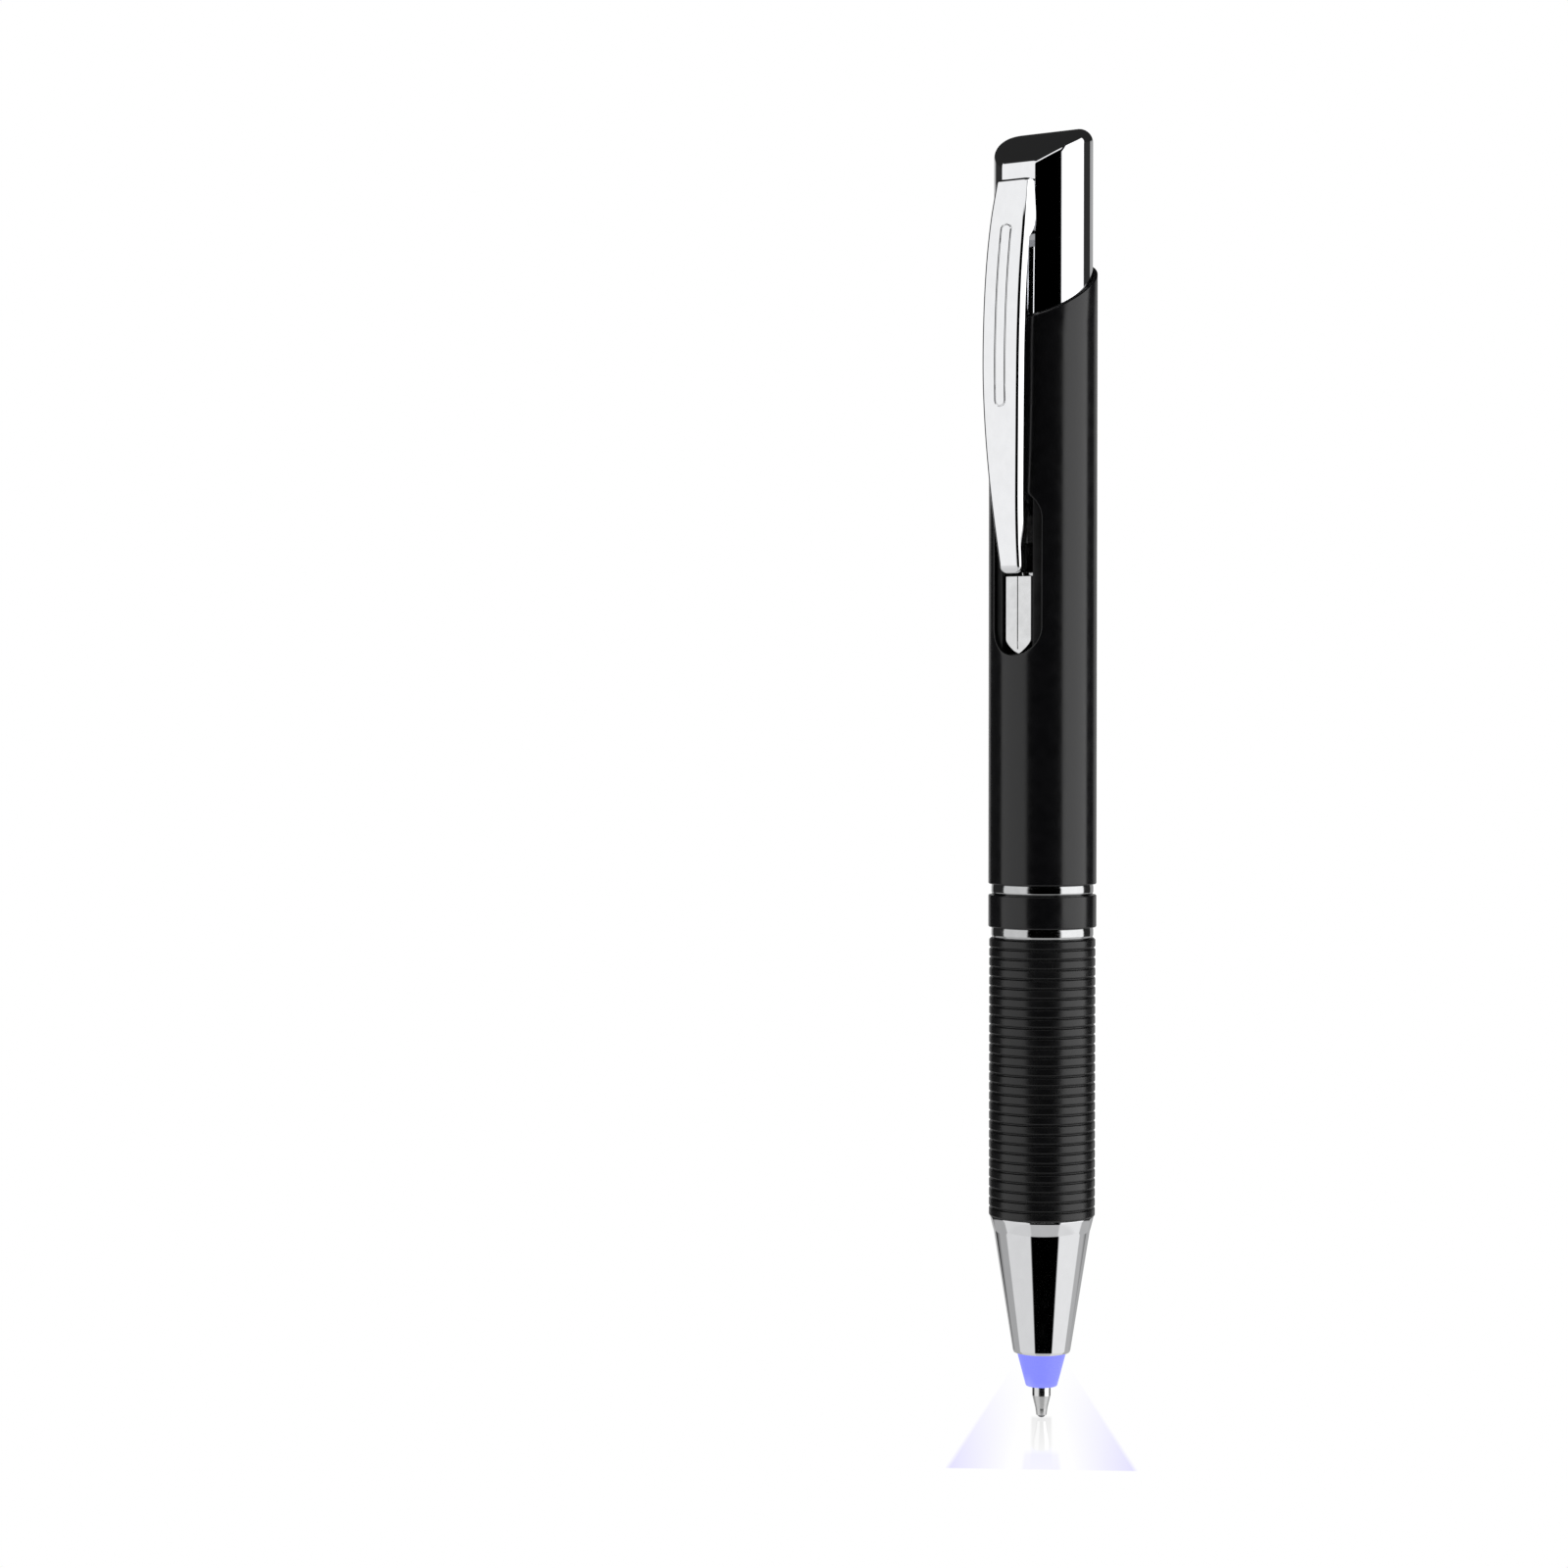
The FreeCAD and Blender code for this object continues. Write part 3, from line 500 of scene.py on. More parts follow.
def build_connector():
    """The threaded spigot that shows when the upper section is off: crests and roots rounded."""
    bore = CIRCUIT_BORE
    turns = 8
    pitch = 0.75 * MM
    depth = 0.3 * MM
    crest = 4.9 * MM
    first = 58.9 * MM
    lead_in = 0.25 * MM
    points = [
        Vector((bore, CONNECTOR.bottom)),
        Vector((SPIGOT, CONNECTOR.bottom)),
        Vector((SPIGOT, GRIP.top)),
        Vector((INNER.radius, GRIP.top)),
        Vector((INNER.radius, UPPER_RING.top)),
        Vector((crest, UPPER_RING.top)),
    ]
    for turn in range(turns):
        middle = first + pitch * turn
        for step in range(-4, 5):
            share = step / 4
            points.append(Vector((crest - depth * 0.5 * (1 + math.cos(math.pi * share)),
                                  middle + share * depth)))
    points += [
        Vector((crest, CONNECTOR.top - lead_in)),
        Vector((crest - lead_in, CONNECTOR.top)),
        Vector((bore, CONNECTOR.top)),
    ]
    made = lathe("threaded_spigot", points, "front_section", MATERIALS["brass"], 192)
    stand_for(made, "threaded_connector")


# --- Barrel and liner, each with a hole in its front -------------------------------------------

class Hole:
    """A rounded oblong hole cut straight through the clip's side of a tube."""

    def __init__(self, half_width, bottom, top, corner):
        self.half = (half_width, (top - bottom) / 2)
        self.middle = (bottom + top) / 2
        self.corner = corner

    def distance(self, x, z):
        """Signed distance to the hole's edge, below zero inside, and the way out of the hole."""
        px, pz = abs(x), abs(z - self.middle)
        qx = px - self.half[0] + self.corner
        qz = pz - self.half[1] + self.corner
        outside = math.hypot(max(qx, 0.0), max(qz, 0.0))
        gap = outside + min(max(qx, qz), 0.0) - self.corner
        if qx > 0 and qz > 0:
            away = (qx / outside, qz / outside)
        elif qx > qz:
            away = (1.0, 0.0)
        else:
            away = (0.0, 1.0)
        return gap, (math.copysign(away[0], x), math.copysign(away[1], z - self.middle))


def holed_tube(name, node, outer, inner, bottom, rim, hole, edge, body, slot, columns=288):
    """A tube whose top is the height rim(y) and whose front has a hole with rounded edges.

    The wall is a grid of columns and rows. Cells inside the hole are left out, the grid points
    along its edge move onto it, and the edge is carried inwards as a rounded strip.
    """
    reach = 1.2 * MM
    hole_low = hole.middle - hole.half[1] - reach
    hole_high = hole.middle + hole.half[1] + reach
    rows = [bottom + edge, *span(hole_low, hole_high, 96)]
    angles = [TURN * column / columns for column in range(columns)]
    grid = []
    for angle in angles:
        top = rim(-outer * math.cos(angle)) - edge
        line = [(outer * math.sin(angle), z) for z in rows]
        line += [(outer * math.sin(angle), hole_high + (top - hole_high) * share / 6)
                 for share in range(1, 7)]
        grid.append(line)
    height = len(grid[0])
    facing = [math.cos(angle) > 0 for angle in angles]

    def inside(column, row):
        column %= columns
        x, z = grid[column][row]
        return facing[column] and hole.distance(x, z)[0] < edge

    kept = []
    for column in range(columns):
        for row in range(height - 1):
            corners = [(column, row), ((column + 1) % columns, row),
                       ((column + 1) % columns, row + 1), (column, row + 1)]
            if sum(inside(*corner) for corner in corners) < 2:
                kept.append(corners)
    uses = {}
    for corners in kept:
        for first, second in zip(corners, corners[1:] + corners[:1]):
            uses[frozenset((first, second))] = uses.get(frozenset((first, second)), 0) + 1
    border = [pair for pair, count in uses.items()
              if count == 1 and all(0 < point[1] < height - 1 for point in pair)]
    on_border = {point for pair in border for point in pair}
    for column, row in on_border:
        x, z = grid[column][row]
        gap, away = hole.distance(x, z)
        grid[column][row] = (x - away[0] * (gap - edge), z - away[1] * (gap - edge))

    verts = []

    def put(x, z, radius, behind):
        y = math.sqrt(max(radius * radius - x * x, 0.0))
        verts.append((x, y if behind else -y, z))
        return len(verts) - 1

    outside, within = {}, {}
    for column in range(columns):
        squeeze = inner / outer
        for row in range(height):
            x, z = grid[column][row]
            outside[column, row] = put(x, z, outer, not facing[column])
            if (column, row) not in on_border:
                within[column, row] = put(x * squeeze, z, inner, not facing[column])
    faces = [tuple(outside[corner] for corner in corners) for corners in kept]

    strips = {}
    for column, row in on_border:
        x, z = grid[column][row]
        away = hole.distance(x, z)[1]
        chain = [outside[column, row]]
        for step in range(1, EDGE_STEPS + 1):
            turn = math.pi / 2 * step / EDGE_STEPS
            pull = edge * math.sin(turn)
            chain.append(put(x - away[0] * pull, z - away[1] * pull,
                             outer - edge * (1 - math.cos(turn)), False))
        chain.append(put(x - away[0] * edge, z - away[1] * edge, inner, False))
        within[column, row] = chain[-1]
        strips[column, row] = chain
    for pair in border:
        first, second = (strips[point] for point in pair)
        for step in range(len(first) - 1):
            faces.append((first[step], second[step], second[step + 1], first[step + 1]))
    faces += [tuple(within[corner] for corner in reversed(corners)) for corners in kept]

    def join_ends(row, level):
        """Round the edge at one end of the tube and close the wall there."""
        loops = [[outside[column, row] for column in range(columns)]]
        for step in range(1, EDGE_STEPS + 1):
            turn = math.pi / 2 * step / EDGE_STEPS
            radius = outer - edge * (1 - math.cos(turn))
            loop = []
            for angle in angles:
                end = level(-outer * math.cos(angle))
                side = 1 if row else -1
                z = end - side * edge * (1 - math.sin(turn))
                loop.append(put(radius * math.sin(angle), z, radius, math.cos(angle) <= 0))
            loops.append(loop)
        loop = [put(inner * math.sin(angle), level(-inner * math.cos(angle)), inner,
                    math.cos(angle) <= 0) for angle in angles]
        loops.append(loop)
        loops.append([within[column, row] for column in range(columns)])
        for low, high in zip(loops, loops[1:]):
            for column in range(columns):
                there = (column + 1) % columns
                faces.append((low[column], low[there], high[there], high[column]))

    join_ends(0, lambda y: bottom)
    join_ends(height - 1, rim)
    made = new_piece(name, verts, faces, body, MATERIALS[slot])
    return stand_for(made, node)


def build_barrel():
    """A thin tube with an oblique rim, low on the clip's side, and the latch window."""
    wall = 0.44 * MM
    low_rim = 118.8 * MM
    slope = (BARREL.top - low_rim) / (2 * BARREL.radius)
    window = Hole(3.0 * MM, 82.9 * MM, 100.5 * MM, 2.999 * MM)
    seam = 0.01 * MM
    holed_tube("barrel_shell", "upper_barrel", BARREL.radius, BARREL.radius - wall,
               UPPER_RING.top + seam, lambda y: low_rim + slope * (y + BARREL.radius), window,
               0.15 * MM, "upper_section", "anodised_black")
    slot = Hole(1.95 * MM, 80.0 * MM, 102.0 * MM, 0.4 * MM)
    liner_bore = 4.65 * MM
    clear_of_shell = 0.01 * MM
    holed_tube("slotted_liner", "barrel_liner", LINER.radius - clear_of_shell, liner_bore,
               LINER.bottom, lambda y: LINER.top, slot, 0.06 * MM, "upper_section",
               "black_plastic", 192)


# --- Release tab -------------------------------------------------------------------------------

def build_tab():
    """A chrome tongue: two facets that meet on a fine groove, a blunt point at its lower end,
    and a step down to the thin neck above."""
    half = TAB_HIGH[0]
    # The tip ends 0.14 mm lower than the CAD tab's and sinks slightly into the battery holder.
    bottom, top = 82.96 * MM, TAB_HIGH[2]
    face, neck = -TAB_LOW[1], 4.0 * MM
    ridge = 0.16 * MM
    bevel = 0.1 * MM
    point = 1.6 * MM
    step_bottom, step_top = 91.3 * MM, 91.8 * MM
    neck_ridge = 0.75 * MM
    teeth, pitch = 7, 0.44 * MM
    serrated_low = 94.7 * MM
    serrated_high = serrated_low + teeth * pitch
    inner_low, inner_high = 3.2 * MM, -TAB_HIGH[1]
    heights = [bottom + point * (step / 16) ** 1.5 for step in range(17)]
    heights += span(bottom + point, step_bottom, 8)[1:]
    heights += [step_bottom + 0.05 * MM, step_top - 0.05 * MM, step_top]
    for tooth in range(teeth):
        low = serrated_low + pitch * tooth
        heights += [low + 0.01 * MM, low + pitch * 0.5, low + pitch * 0.96]
    heights += span(serrated_high, top, 8)
    rings = []
    for z in heights:
        lift = min((z - bottom) / point, 1.0)
        width = half * max(1 - (1 - lift) ** 1.5, 0.03)
        above = smoothstep(step_bottom, step_top, z)
        out = face - (face - neck) * above - 0.1 * MM * (1 - lift) ** 2
        if serrated_low < z < serrated_high:
            out += 0.14 * MM * ((z - serrated_low) / pitch % 1.0)
        side = out - (ridge + (neck_ridge - ridge) * above) * width / half
        lean = bevel * width / half
        inside = inner_low + (inner_high - inner_low) * smoothstep(98 * MM, 101 * MM, z)
        groove = min(0.06 * MM, width * 0.3)
        rings.append([
            (-width, -inside, z), (-width, -(side - lean), z), (-(width - lean), -side, z),
            (-groove, -out, z), (0, -(out - 0.05 * MM * lift), z), (groove, -out, z),
            (width - lean, -side, z), (width, -(side - lean), z), (width, -inside, z),
        ])
    verts, faces = skin(rings)
    made = new_piece("latch_tongue", verts, faces, "tab", WORN_CHROME,
                     sharp=math.radians(20))
    stand_for(made, "release_tab")


# --- Push cap ----------------------------------------------------------------------------------

class Crown:
    """The cap's oblique top: an arc seen from the side, and straight from side to side."""

    def __init__(self, front, middle, back, radius):
        chord = Vector((2 * radius, back - front))
        half = chord.length / 2
        sagitta_foot = (front + back) / 2
        offset = (middle - sagitta_foot) * math.cos(math.atan2(chord.y, chord.x))
        along = (middle - sagitta_foot) * math.sin(math.atan2(chord.y, chord.x))
        # The circle through both ends of the chord and the middle point.
        lift = (offset ** 2 + along ** 2 - half ** 2) / (2 * offset)
        normal = Vector((-chord.y, chord.x)).normalized()
        self.centre = Vector((0, sagitta_foot)) + normal * lift
        self.radius = math.hypot(half, lift)

    def height(self, y):
        return self.centre.y + math.sqrt(self.radius ** 2 - (y - self.centre.x) ** 2)

    def slope(self, y):
        return -(y - self.centre.x) / (self.height(y) - self.centre.y)


def flat_outline(radius, flat, across, around):
    """Points and outward ways round a circle cut off by a flat on the clip's side."""
    corner = math.acos(flat / radius)
    half = math.sqrt(radius ** 2 - flat ** 2)
    loop = []
    for x in span(-half, half, across):
        loop.append((x, -flat, 0.0, -1.0))
    for angle in span(corner, TURN - corner, around)[1:-1]:
        way = (math.sin(angle), -math.cos(angle))
        loop.append((radius * way[0], radius * way[1], *way))
    return loop


def fillet_height(crown, y, way_y, inset, rim):
    """Height of the cap's skin at inset from its wall: the rim's rounding, then the crown."""
    wall_y = y + way_y * inset
    contact = rim
    for _ in range(6):
        slope = -crown.slope(wall_y - way_y * contact) * way_y
        contact = rim * (1 - slope / math.hypot(1, slope))
    if inset >= contact:
        return crown.height(y)
    centre = crown.height(wall_y - way_y * contact) - rim / math.hypot(1, slope)
    return centre + math.sqrt(max(rim ** 2 - (rim - inset) ** 2, 0.0))


def build_cap():
    """A tube with a flat for the clip's root, closed by the crowned top with a rounded rim."""
    crown = Crown(134.8 * MM, 139.15 * MM, 139.4 * MM, CAP_RADIUS)
    rim = 1.5 * MM
    flat = 4.9 * MM
    flat_bottom = 126.4 * MM
    across, around = 24, 232
    rings = []
    inner = flat_outline(CAP_RADIUS - rim, flat - rim, across, around)
    for bare in span(0.03, 1.0, 12)[:-1]:
        rings.append([(x * bare, y * bare, crown.height(y * bare)) for x, y, _, _ in inner])
    for turn in reversed(span(0.0, math.pi / 2, 16)):
        inset = rim * (1 - math.cos(turn))
        rings.append([(x, y, fillet_height(crown, y, way_y, inset, rim))
                      for x, y, _, way_y
                      in flat_outline(CAP_RADIUS - inset, flat - inset, across, around)])
    wall = flat_outline(CAP_RADIUS, flat, across, around)
    rings.append([(x, y, flat_bottom) for x, y, _, _ in wall])
    below = flat_bottom - 0.06 * MM
    full = [(x, -math.sqrt(CAP_RADIUS ** 2 - x * x)) if out_x == 0.0 else (x, y)
            for x, y, out_x, _ in wall]
    lip = 0.08 * MM
    skirt = [(1.0, below), (1.0, CAP.bottom + lip), (1 - lip / CAP_RADIUS, CAP.bottom),
             (CORE.radius / CAP_RADIUS, CAP.bottom), (CORE.radius / CAP_RADIUS, CORE.top),
             (0.02, CORE.top)]
    for share, z in skirt:
        rings.append([(x * share, y * share, z) for x, y in full])
    verts, faces = skin(rings)
    cap = new_piece("chrome_cap", verts, faces, "plunger", MATERIALS["chrome"],
                    sharp=math.radians(20))
    stand_for(cap, "push_cap")


# --- Pocket clip -------------------------------------------------------------------------------

# Heights in mm, each with the clip's distance out from the pen's axis or half its width there.
CLIP_FRONT = [(91.6, 6.55), (95.0, 7.12), (100.0, 7.77), (106.5, 8.28), (113.0, 8.49),
              (119.0, 8.32), (124.0, 7.91), (129.0, 7.16), (133.65, 6.2)]
CLIP_WIDTH = [(91.6, 1.32), (97.0, 1.68), (102.7, 2.06), (108.0, 2.32), (113.3, 2.45),
              (123.9, 2.45), (129.2, 2.36), (133.65, 2.1)]
CLIP_THICKNESS = 1.12 * MM
CLIP_DRAFT = math.radians(5)    # how far its sides spread backwards


def clip_size(stops, z):
    return curve_through(stops, z / MM) * MM


def clip_back(z):
    """How far out the clip's back is: it thins where it would touch the barrel."""
    clear_of_barrel = BARREL.radius + 0.07 * MM
    return max(clip_size(CLIP_FRONT, z) - CLIP_THICKNESS, clear_of_barrel * (z < BARREL.top))


SLOT = Hole(0.62 * MM, 109.3 * MM, 128.7 * MM, 0.619 * MM)


def slot_line(x, z):
    """Depth of the fine oblong line pressed into the clip's face."""
    width = 0.07 * MM
    return 0.06 * MM * math.exp(-(SLOT.distance(x, z)[0] / width) ** 2)


def build_clip():
    """A bowed bar: flat face, rounded front edges, and sides that spread a little backwards."""
    tip, top = CLIP_LOW[2], CLIP_HIGH[2]
    soft = 0.45 * MM
    corner = 0.75 * MM
    hem = 0.16 * MM
    crest = 0.32 * MM
    heights = [tip + corner * (1 - math.cos(math.pi / 2 * step / 10)) for step in range(11)]
    for end in (SLOT.middle - SLOT.half[1], SLOT.middle + SLOT.half[1]):
        heights += span(heights[-1], end - 0.9 * MM, 100)[1:]
        heights += span(end - 0.9 * MM, end + 0.9 * MM, 45)[1:]
    heights += span(heights[-1], top - crest, 30)[1:]
    heights += [top - crest * (1 - math.sin(math.pi / 2 * step / 6)) for step in range(1, 7)]
    turns = [math.pi / 2 * step / 8 for step in range(1, 9)]
    rings = []
    for z in heights:
        fade = min((z - tip) / corner, 1.0)
        round_end = corner * (1 - math.sqrt(max(1 - (1 - fade) ** 2, 0.0)))
        rise = max(z - (top - crest), 0.0)
        round_top = crest - math.sqrt(max(crest ** 2 - rise ** 2, 0.0))
        half = clip_size(CLIP_WIDTH, z) - round_end - round_top
        front = clip_size(CLIP_FRONT, z) - 0.25 * MM * (1 - fade) ** 2 - round_top
        back = clip_back(z)
        edge = min(soft, (front - back) * 0.55, half * 0.55)
        lean = (front - edge - back) * math.tan(CLIP_DRAFT)
        flat = half - lean - edge
        ring = [(x, -(front - slot_line(x, z)), z) for x in span(-flat, flat, 72)]
        rounding = [(flat + edge * math.sin(turn), -(front - edge * (1 - math.cos(turn))), z)
                    for turn in turns]
        behind = [(half, -(back + hem), z), (half - hem, -back, z)]
        right = rounding + behind
        ring += right + [(-x, y, z) for x, y, z in reversed(right)]
        rings.append(ring)
    verts, faces = skin(rings)
    clip = new_piece("clip_arm", verts, faces, "clip", MATERIALS["chrome"],
                     sharp=math.radians(42))
    stand_for(clip, "pocket_clip")


def build_clip_root():
    """The solid block behind the clip's top, seated in the cap's flat and run out below."""
    top, bottom = CLIP_HIGH[2] - 0.3 * MM, 127.2 * MM
    seat = 4.95 * MM
    edge = 0.05 * MM
    groove = 0.06 * MM
    rings = []
    for share in span(0.0, 1.0, 20):
        z = bottom + (top - bottom) * share
        lift = min(share / 0.45, 1.0)
        half = clip_size(CLIP_WIDTH, z) - groove
        front = clip_back(z) + 0.25 * MM
        back = seat + (front - 0.15 * MM - seat) * (1 - lift) ** 2
        narrow = half - (front - back) * math.tan(CLIP_DRAFT)
        lip = min(edge, (front - back) / 2)
        rings.append([(-narrow, -front, z), (narrow, -front, z), (half, -back - lip, z),
                      (half - lip, -back, z), (-half + lip, -back, z), (-half, -back - lip, z)])
    verts, faces = skin(rings)
    new_piece("clip_root", verts, faces, "clip", MATERIALS["chrome"],
              sharp=math.radians(30))


def build_clip_foot():
    """A low wedge with teeth under the clip's lower end, which grips a pocket."""
    bottom, top = 94.3 * MM, 99.4 * MM
    teeth = 5
    half = 0.85 * MM
    rings = []
    steps = teeth * 8
    for step in range(steps + 1):
        share = step / steps
        z = bottom + (top - bottom) * share
        depth = 0.3 * MM * math.sin(math.pi * share) ** 0.7
        bite = 0.11 * MM * abs((share * teeth) % 1.0 - 0.5) * 2
        front = clip_back(z) + 0.2 * MM
        back = max(clip_back(z) - depth + bite * (depth > 0.1 * MM), 5.86 * MM)
        back = min(back, front - 0.05 * MM)
        rings.append([(-half, -front, z), (half, -front, z), (half * 0.9, -back, z),
                      (-half * 0.9, -back, z)])
    verts, faces = skin(rings)
    new_piece("clip_foot", verts, faces, "clip", MATERIALS["chrome"],
              sharp=math.radians(25))


# --- Stage, light and camera -------------------------------------------------------------------

CAMERA_AZIMUTH = math.radians(33)     # the clip is turned this far to the left of the camera
CAMERA_DISTANCE = 378.8 * MM
CAMERA_HEIGHT = 78.0 * MM
FRAME_WIDTH = 170.4 * MM              # what the picture spans at the pen
PEN_OFFSET = 28.1 * MM                # how far right of the picture's middle the pen stands
HORIZON_RISE = 9.06 * MM              # how far above the picture's middle the horizon is
TOWARDS_CAMERA = Vector((math.sin(CAMERA_AZIMUTH), -math.cos(CAMERA_AZIMUTH), 0))


def build_camera():
    data = bpy.data.cameras.new("camera")
    data.sensor_width = 36.0
    depth = CAMERA_DISTANCE
    data.lens = data.sensor_width * depth / FRAME_WIDTH
    camera = bpy.data.objects.new("camera", data)
    bpy.context.scene.collection.objects.link(camera)
    camera.location = TOWARDS_CAMERA * CAMERA_DISTANCE + Vector((0, 0, CAMERA_HEIGHT))
    yaw = math.atan2(PEN_OFFSET, depth)
    pitch = math.atan2(HORIZON_RISE, depth)
    camera.rotation_euler = (math.pi / 2 - pitch, 0, CAMERA_AZIMUTH + yaw)
    data.clip_start = 0.01
    data.clip_end = 20.0
    bpy.context.scene.camera = camera


# What the pen reflects, band by band upwards. A band starts at an elevation and lists stops of
# (degrees round from the camera, positive to its right; brightness up to the next stop).
STUDIO = [
    (-90, [(-180, 0.42), (-98, 0.66), (-28, 0.50), (44, 0.74), (108, 0.44)]),
    (-31, [(-180, 0.40), (-98, 0.72), (-28, 0.0), (44, 0.85), (108, 0.46)]),
    (-16, [(-180, 0.5), (-150, 0.03), (-98, 0.95), (-34, 0.0), (43, 1.6), (107, 0.03), (139, 0.4)]),
    (12, [(-180, 0.02), (-98, 0.95), (-34, 0.0), (43, 1.6), (107, 0.02)]),
    (30, [(-180, 0.02), (-98, 0.95), (33, 0.0), (43, 1.6), (107, 0.02)]),
    (40, [(-180, 0.02)]),
]


class WorldTree:
    """Helpers for a shader that is laid out by direction or place in the world."""

    def __init__(self, tree, coordinates):
        self.tree = tree
        self.way = tree.nodes.new("ShaderNodeTexCoord").outputs[coordinates]

    def dot_with(self, vector):
        node = self.tree.nodes.new("ShaderNodeVectorMath")
        node.operation = "DOT_PRODUCT"
        node.inputs[1].default_value = vector
        self.tree.links.new(self.way, node.inputs[0])
        return node.outputs["Value"]

    def maths(self, operation, *values):
        node = self.tree.nodes.new("ShaderNodeMath")
        node.operation = operation
        for socket, value in zip(node.inputs, values):
            if isinstance(value, (int, float)):
                socket.default_value = value
            else:
                self.tree.links.new(value, socket)
        return node.outputs["Value"]

    def profile(self, place, stops):
        """Brightness round the pen at a place of 0 to 1 from behind it, left first."""
        soft = 1.6
        wanted = [(-180, stops[0][1])]
        for before, (degrees, level) in zip(stops, stops[1:]):
            wanted.append((degrees - soft, before[1]))
            wanted.append((degrees + soft, level))
        node = self.tree.nodes.new("ShaderNodeValToRGB")
        self.tree.links.new(place, node.inputs["Fac"])
        made = node.color_ramp.elements
        while len(made) > len(wanted):
            made.remove(made[-1])
        while len(made) < len(wanted):
            made.new(0.5)
        for stop, (degrees, level) in zip(made, wanted):
            stop.position = (degrees + 180) / 360
            stop.color = (level, level, level, 1)
        return node.outputs["Color"]

    def step(self, value, low, high):
        return ramp(self.tree, value, low, high, 0.0, 1.0)

    def mix(self, share, below, above):
        node = self.tree.nodes.new("ShaderNodeMix")
        node.data_type = "RGBA"
        self.tree.links.new(share, node.inputs["Factor"])
        for socket, colour in (("A", below), ("B", above)):
            if isinstance(colour, tuple):
                node.inputs[socket].default_value = (*colour, 1)
            else:
                self.tree.links.new(colour, node.inputs[socket])
        return node.outputs["Result"]


def build_world():
    """A white room: the camera sees white, and the pen reflects two tall softboxes, one each
    side, with dark between them behind the camera and a dim wall beyond."""
    world = bpy.data.worlds.new("studio")
    bpy.context.scene.world = world
    world.use_nodes = True
    tree = world.node_tree
    tree.nodes.clear()
    studio = WorldTree(tree, "Generated")
    right = (math.cos(CAMERA_AZIMUTH), math.sin(CAMERA_AZIMUTH), 0)
    angle = studio.maths("ARCTAN2", studio.dot_with(right), studio.dot_with(TOWARDS_CAMERA))
    place = studio.maths("ADD", studio.maths("DIVIDE", angle, TURN), 0.5)
    height = studio.dot_with((0, 0, 1))
    colour = studio.profile(place, STUDIO[0][1])
    soft = 1.5
    for elevation, stops in STUDIO[1:]:
        low, high = (math.sin(math.radians(elevation + side)) for side in (-soft, soft))
        share = studio.step(height, low, high)
        colour = studio.mix(share, colour, studio.profile(place, stops))
    lit = tree.nodes.new("ShaderNodeBackground")
    tree.links.new(colour, lit.inputs["Color"])
    white = tree.nodes.new("ShaderNodeBackground")
    white.inputs["Color"].default_value = (1, 1, 1, 1)
    rays = tree.nodes.new("ShaderNodeLightPath")
    pick = tree.nodes.new("ShaderNodeMixShader")
    out = tree.nodes.new("ShaderNodeOutputWorld")
    tree.links.new(rays.outputs["Is Camera Ray"], pick.inputs["Fac"])
    tree.links.new(lit.outputs["Background"], pick.inputs[1])
    tree.links.new(white.outputs["Background"], pick.inputs[2])
    tree.links.new(pick.outputs["Shader"], out.inputs["Surface"])


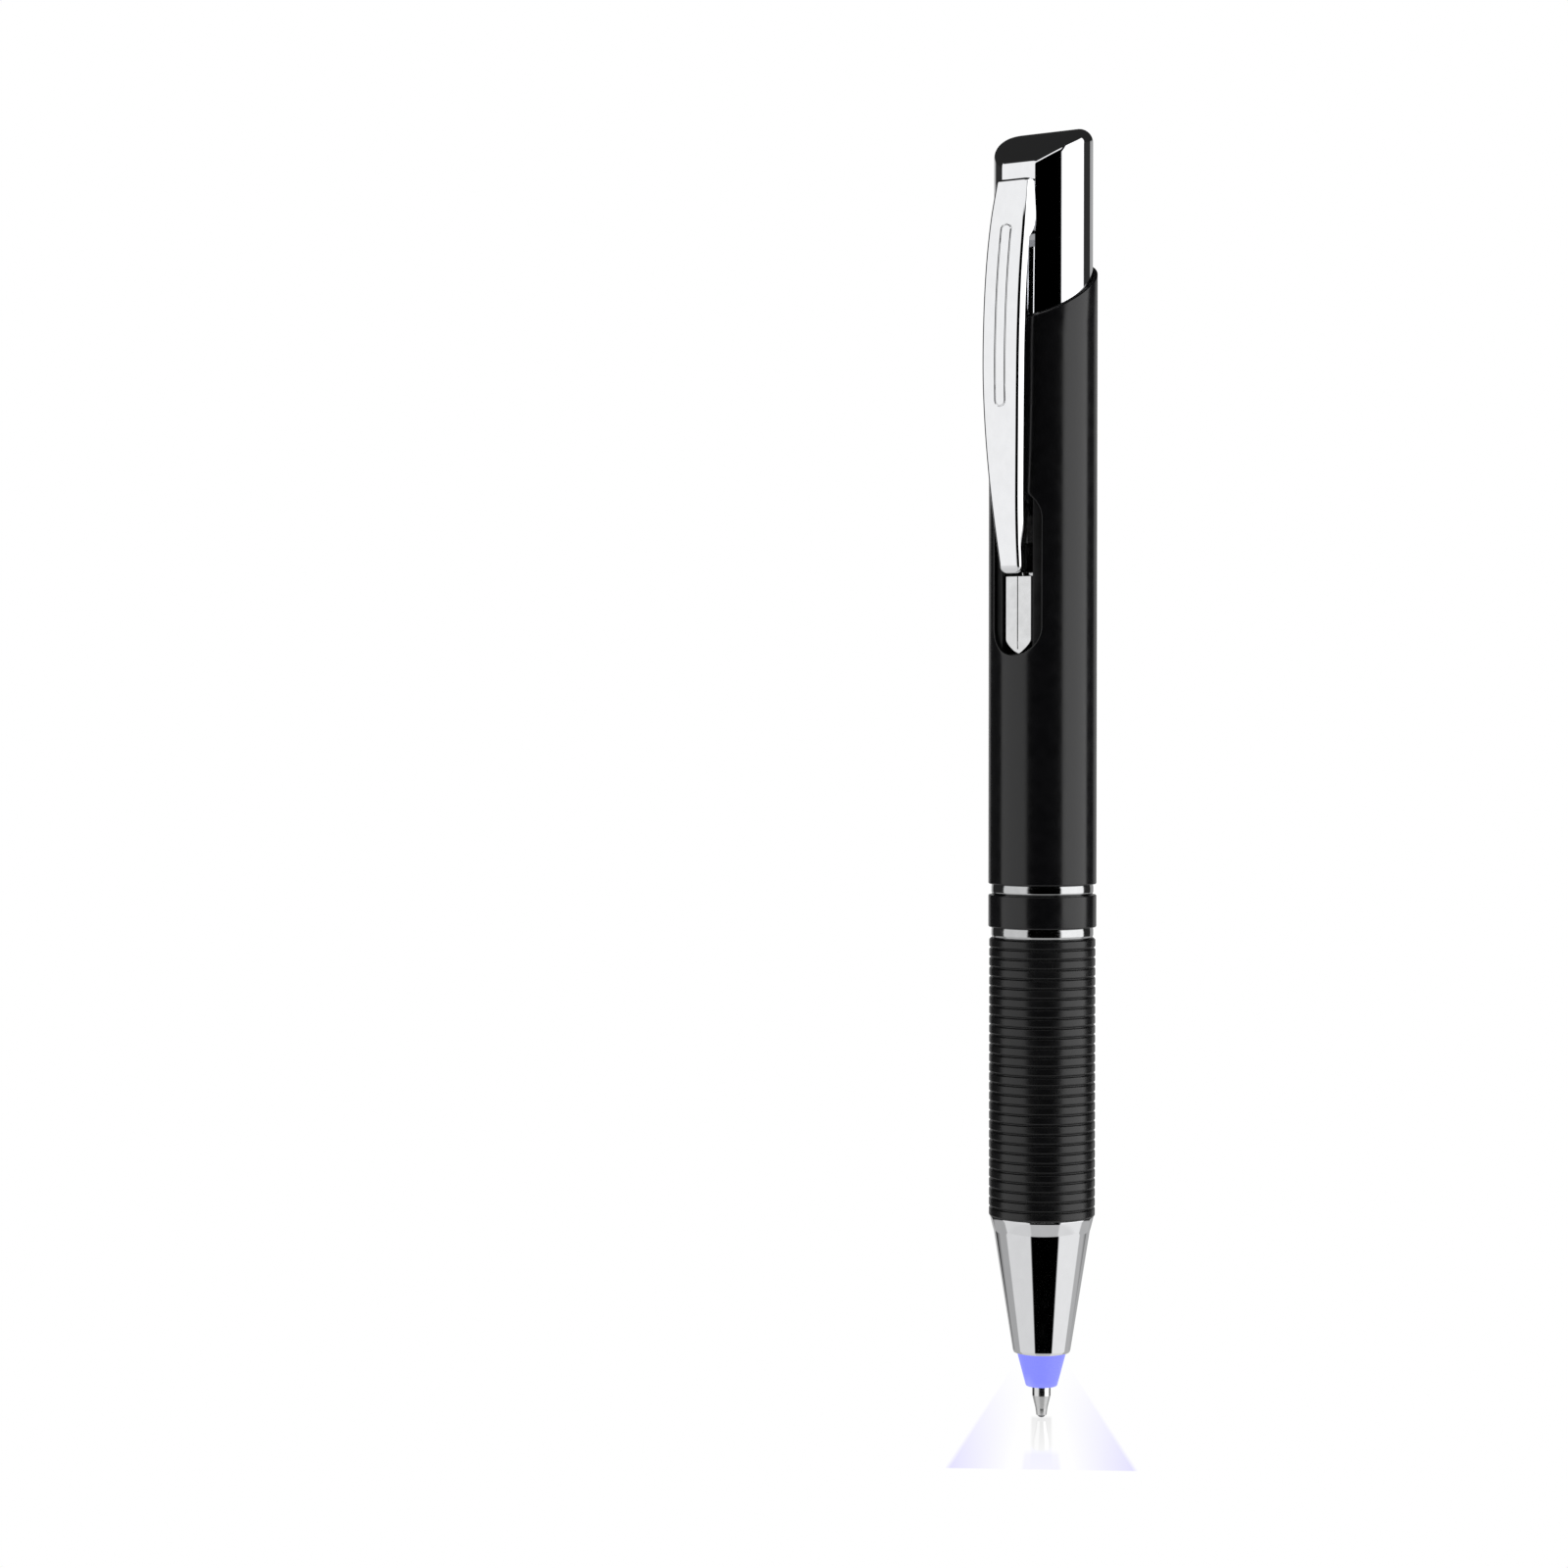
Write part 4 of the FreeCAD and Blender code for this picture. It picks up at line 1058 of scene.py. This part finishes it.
def build_floor():
    """A white table: it mirrors the tip faintly in front of the pen, a soft hollow fan of violet
    light is painted on it where the lamp would light it, and a painted reflection of the glowing
    guide lies along the fan's middle nearest the camera."""
    size = 3.0
    mesh = bpy.data.meshes.new("floor")
    mesh.from_pydata([(-size, -size, 0), (size, -size, 0), (size, size, 0), (-size, size, 0)], [],
                     [(0, 1, 2, 3)])
    floor = bpy.data.objects.new("floor", mesh)
    bpy.context.scene.collection.objects.link(floor)
    floor.location.z = -0.02 * MM       # just under the ball
    made = bpy.data.materials.new("white floor")
    made.use_nodes = True
    tree = made.node_tree
    tree.nodes.clear()
    table = WorldTree(tree, "Object")
    side = table.maths("ABSOLUTE", table.dot_with((math.cos(CAMERA_AZIMUTH),
                                                   math.sin(CAMERA_AZIMUTH), 0)))
    nearer = table.dot_with(TOWARDS_CAMERA)

    def inside(value, limit, soft):
        return table.step(value, limit + soft, limit - soft)

    far, near = -32 * MM, 25.8 * MM
    spread, half_at_pen = 0.114, 6.6 * MM
    fan_width = table.maths("MULTIPLY_ADD", nearer, spread, half_at_pen)
    across = table.maths("DIVIDE", side, fan_width)
    # Painted lamp light: a hollow violet fan on the table, brightest towards its edges and widening
    # towards the camera.
    hollow = table.maths("MULTIPLY", table.step(across, 0.35, 1.0), inside(across, 1.0, 0.03))
    # Painted reflection of the glowing guide: a narrow violet streak down the fan's middle, from
    # 16.5 mm towards the camera, at 0.35 of the fan's strength.
    painted_guide_reflection = table.maths("MULTIPLY", inside(across, 0.2, 0.02),
                        table.step(nearer, 16.5 * MM, 19 * MM))
    painted_reflection_level = 0.35
    light = table.maths("MAXIMUM", hollow, table.maths("MULTIPLY", painted_guide_reflection, painted_reflection_level))
    reach = table.maths("MULTIPLY", table.maths("POWER", table.step(nearer, far, near), 1.5),
                        inside(nearer, near, 0.3 * MM))
    white, violet = (1.0, 1.0, 1.0), (0.78, 0.76, 1.0)
    fan = table.mix(table.maths("MULTIPLY", light, reach), white, violet)
    # The table's own even white, with the painted violet fan and the painted guide reflection mixed
    # into its emission.
    table_and_painted_light = tree.nodes.new("ShaderNodeEmission")
    tree.links.new(fan, table_and_painted_light.inputs["Color"])

    gloss = tree.nodes.new("ShaderNodeBsdfGlossy")
    gloss.inputs["Roughness"].default_value = 0.03
    gloss.inputs["Color"].default_value = (1, 1, 1, 1)
    strip_half, strip_level = 1.08 * MM, 0.2
    strip = table.maths("MULTIPLY", inside(side, strip_half, 0.12 * MM),
                        table.step(nearer, near, 1 * MM))
    strip = table.maths("MULTIPLY", strip, table.step(nearer, -1 * MM, 0.5 * MM))
    mix = tree.nodes.new("ShaderNodeMixShader")
    tree.links.new(table.maths("MULTIPLY", strip, strip_level), mix.inputs["Fac"])
    tree.links.new(table_and_painted_light.outputs["Emission"], mix.inputs[1])
    tree.links.new(gloss.outputs["BSDF"], mix.inputs[2])
    out = tree.nodes.new("ShaderNodeOutputMaterial")
    tree.links.new(mix.outputs["Shader"], out.inputs["Surface"])
    mesh.materials.append(made)
    floor.visible_diffuse = False
    floor.visible_glossy = False
    floor.visible_transmission = False
    floor.visible_shadow = False


dress_cad_nodes()
build_tip()
build_light_guide()
build_nose()
build_grip()
build_rings()
build_connector()
build_barrel()
build_tab()
build_cap()
build_clip()
build_clip_root()
build_clip_foot()
build_camera()
build_world()
build_floor()

bpy.context.scene.view_settings.view_transform = "Standard"
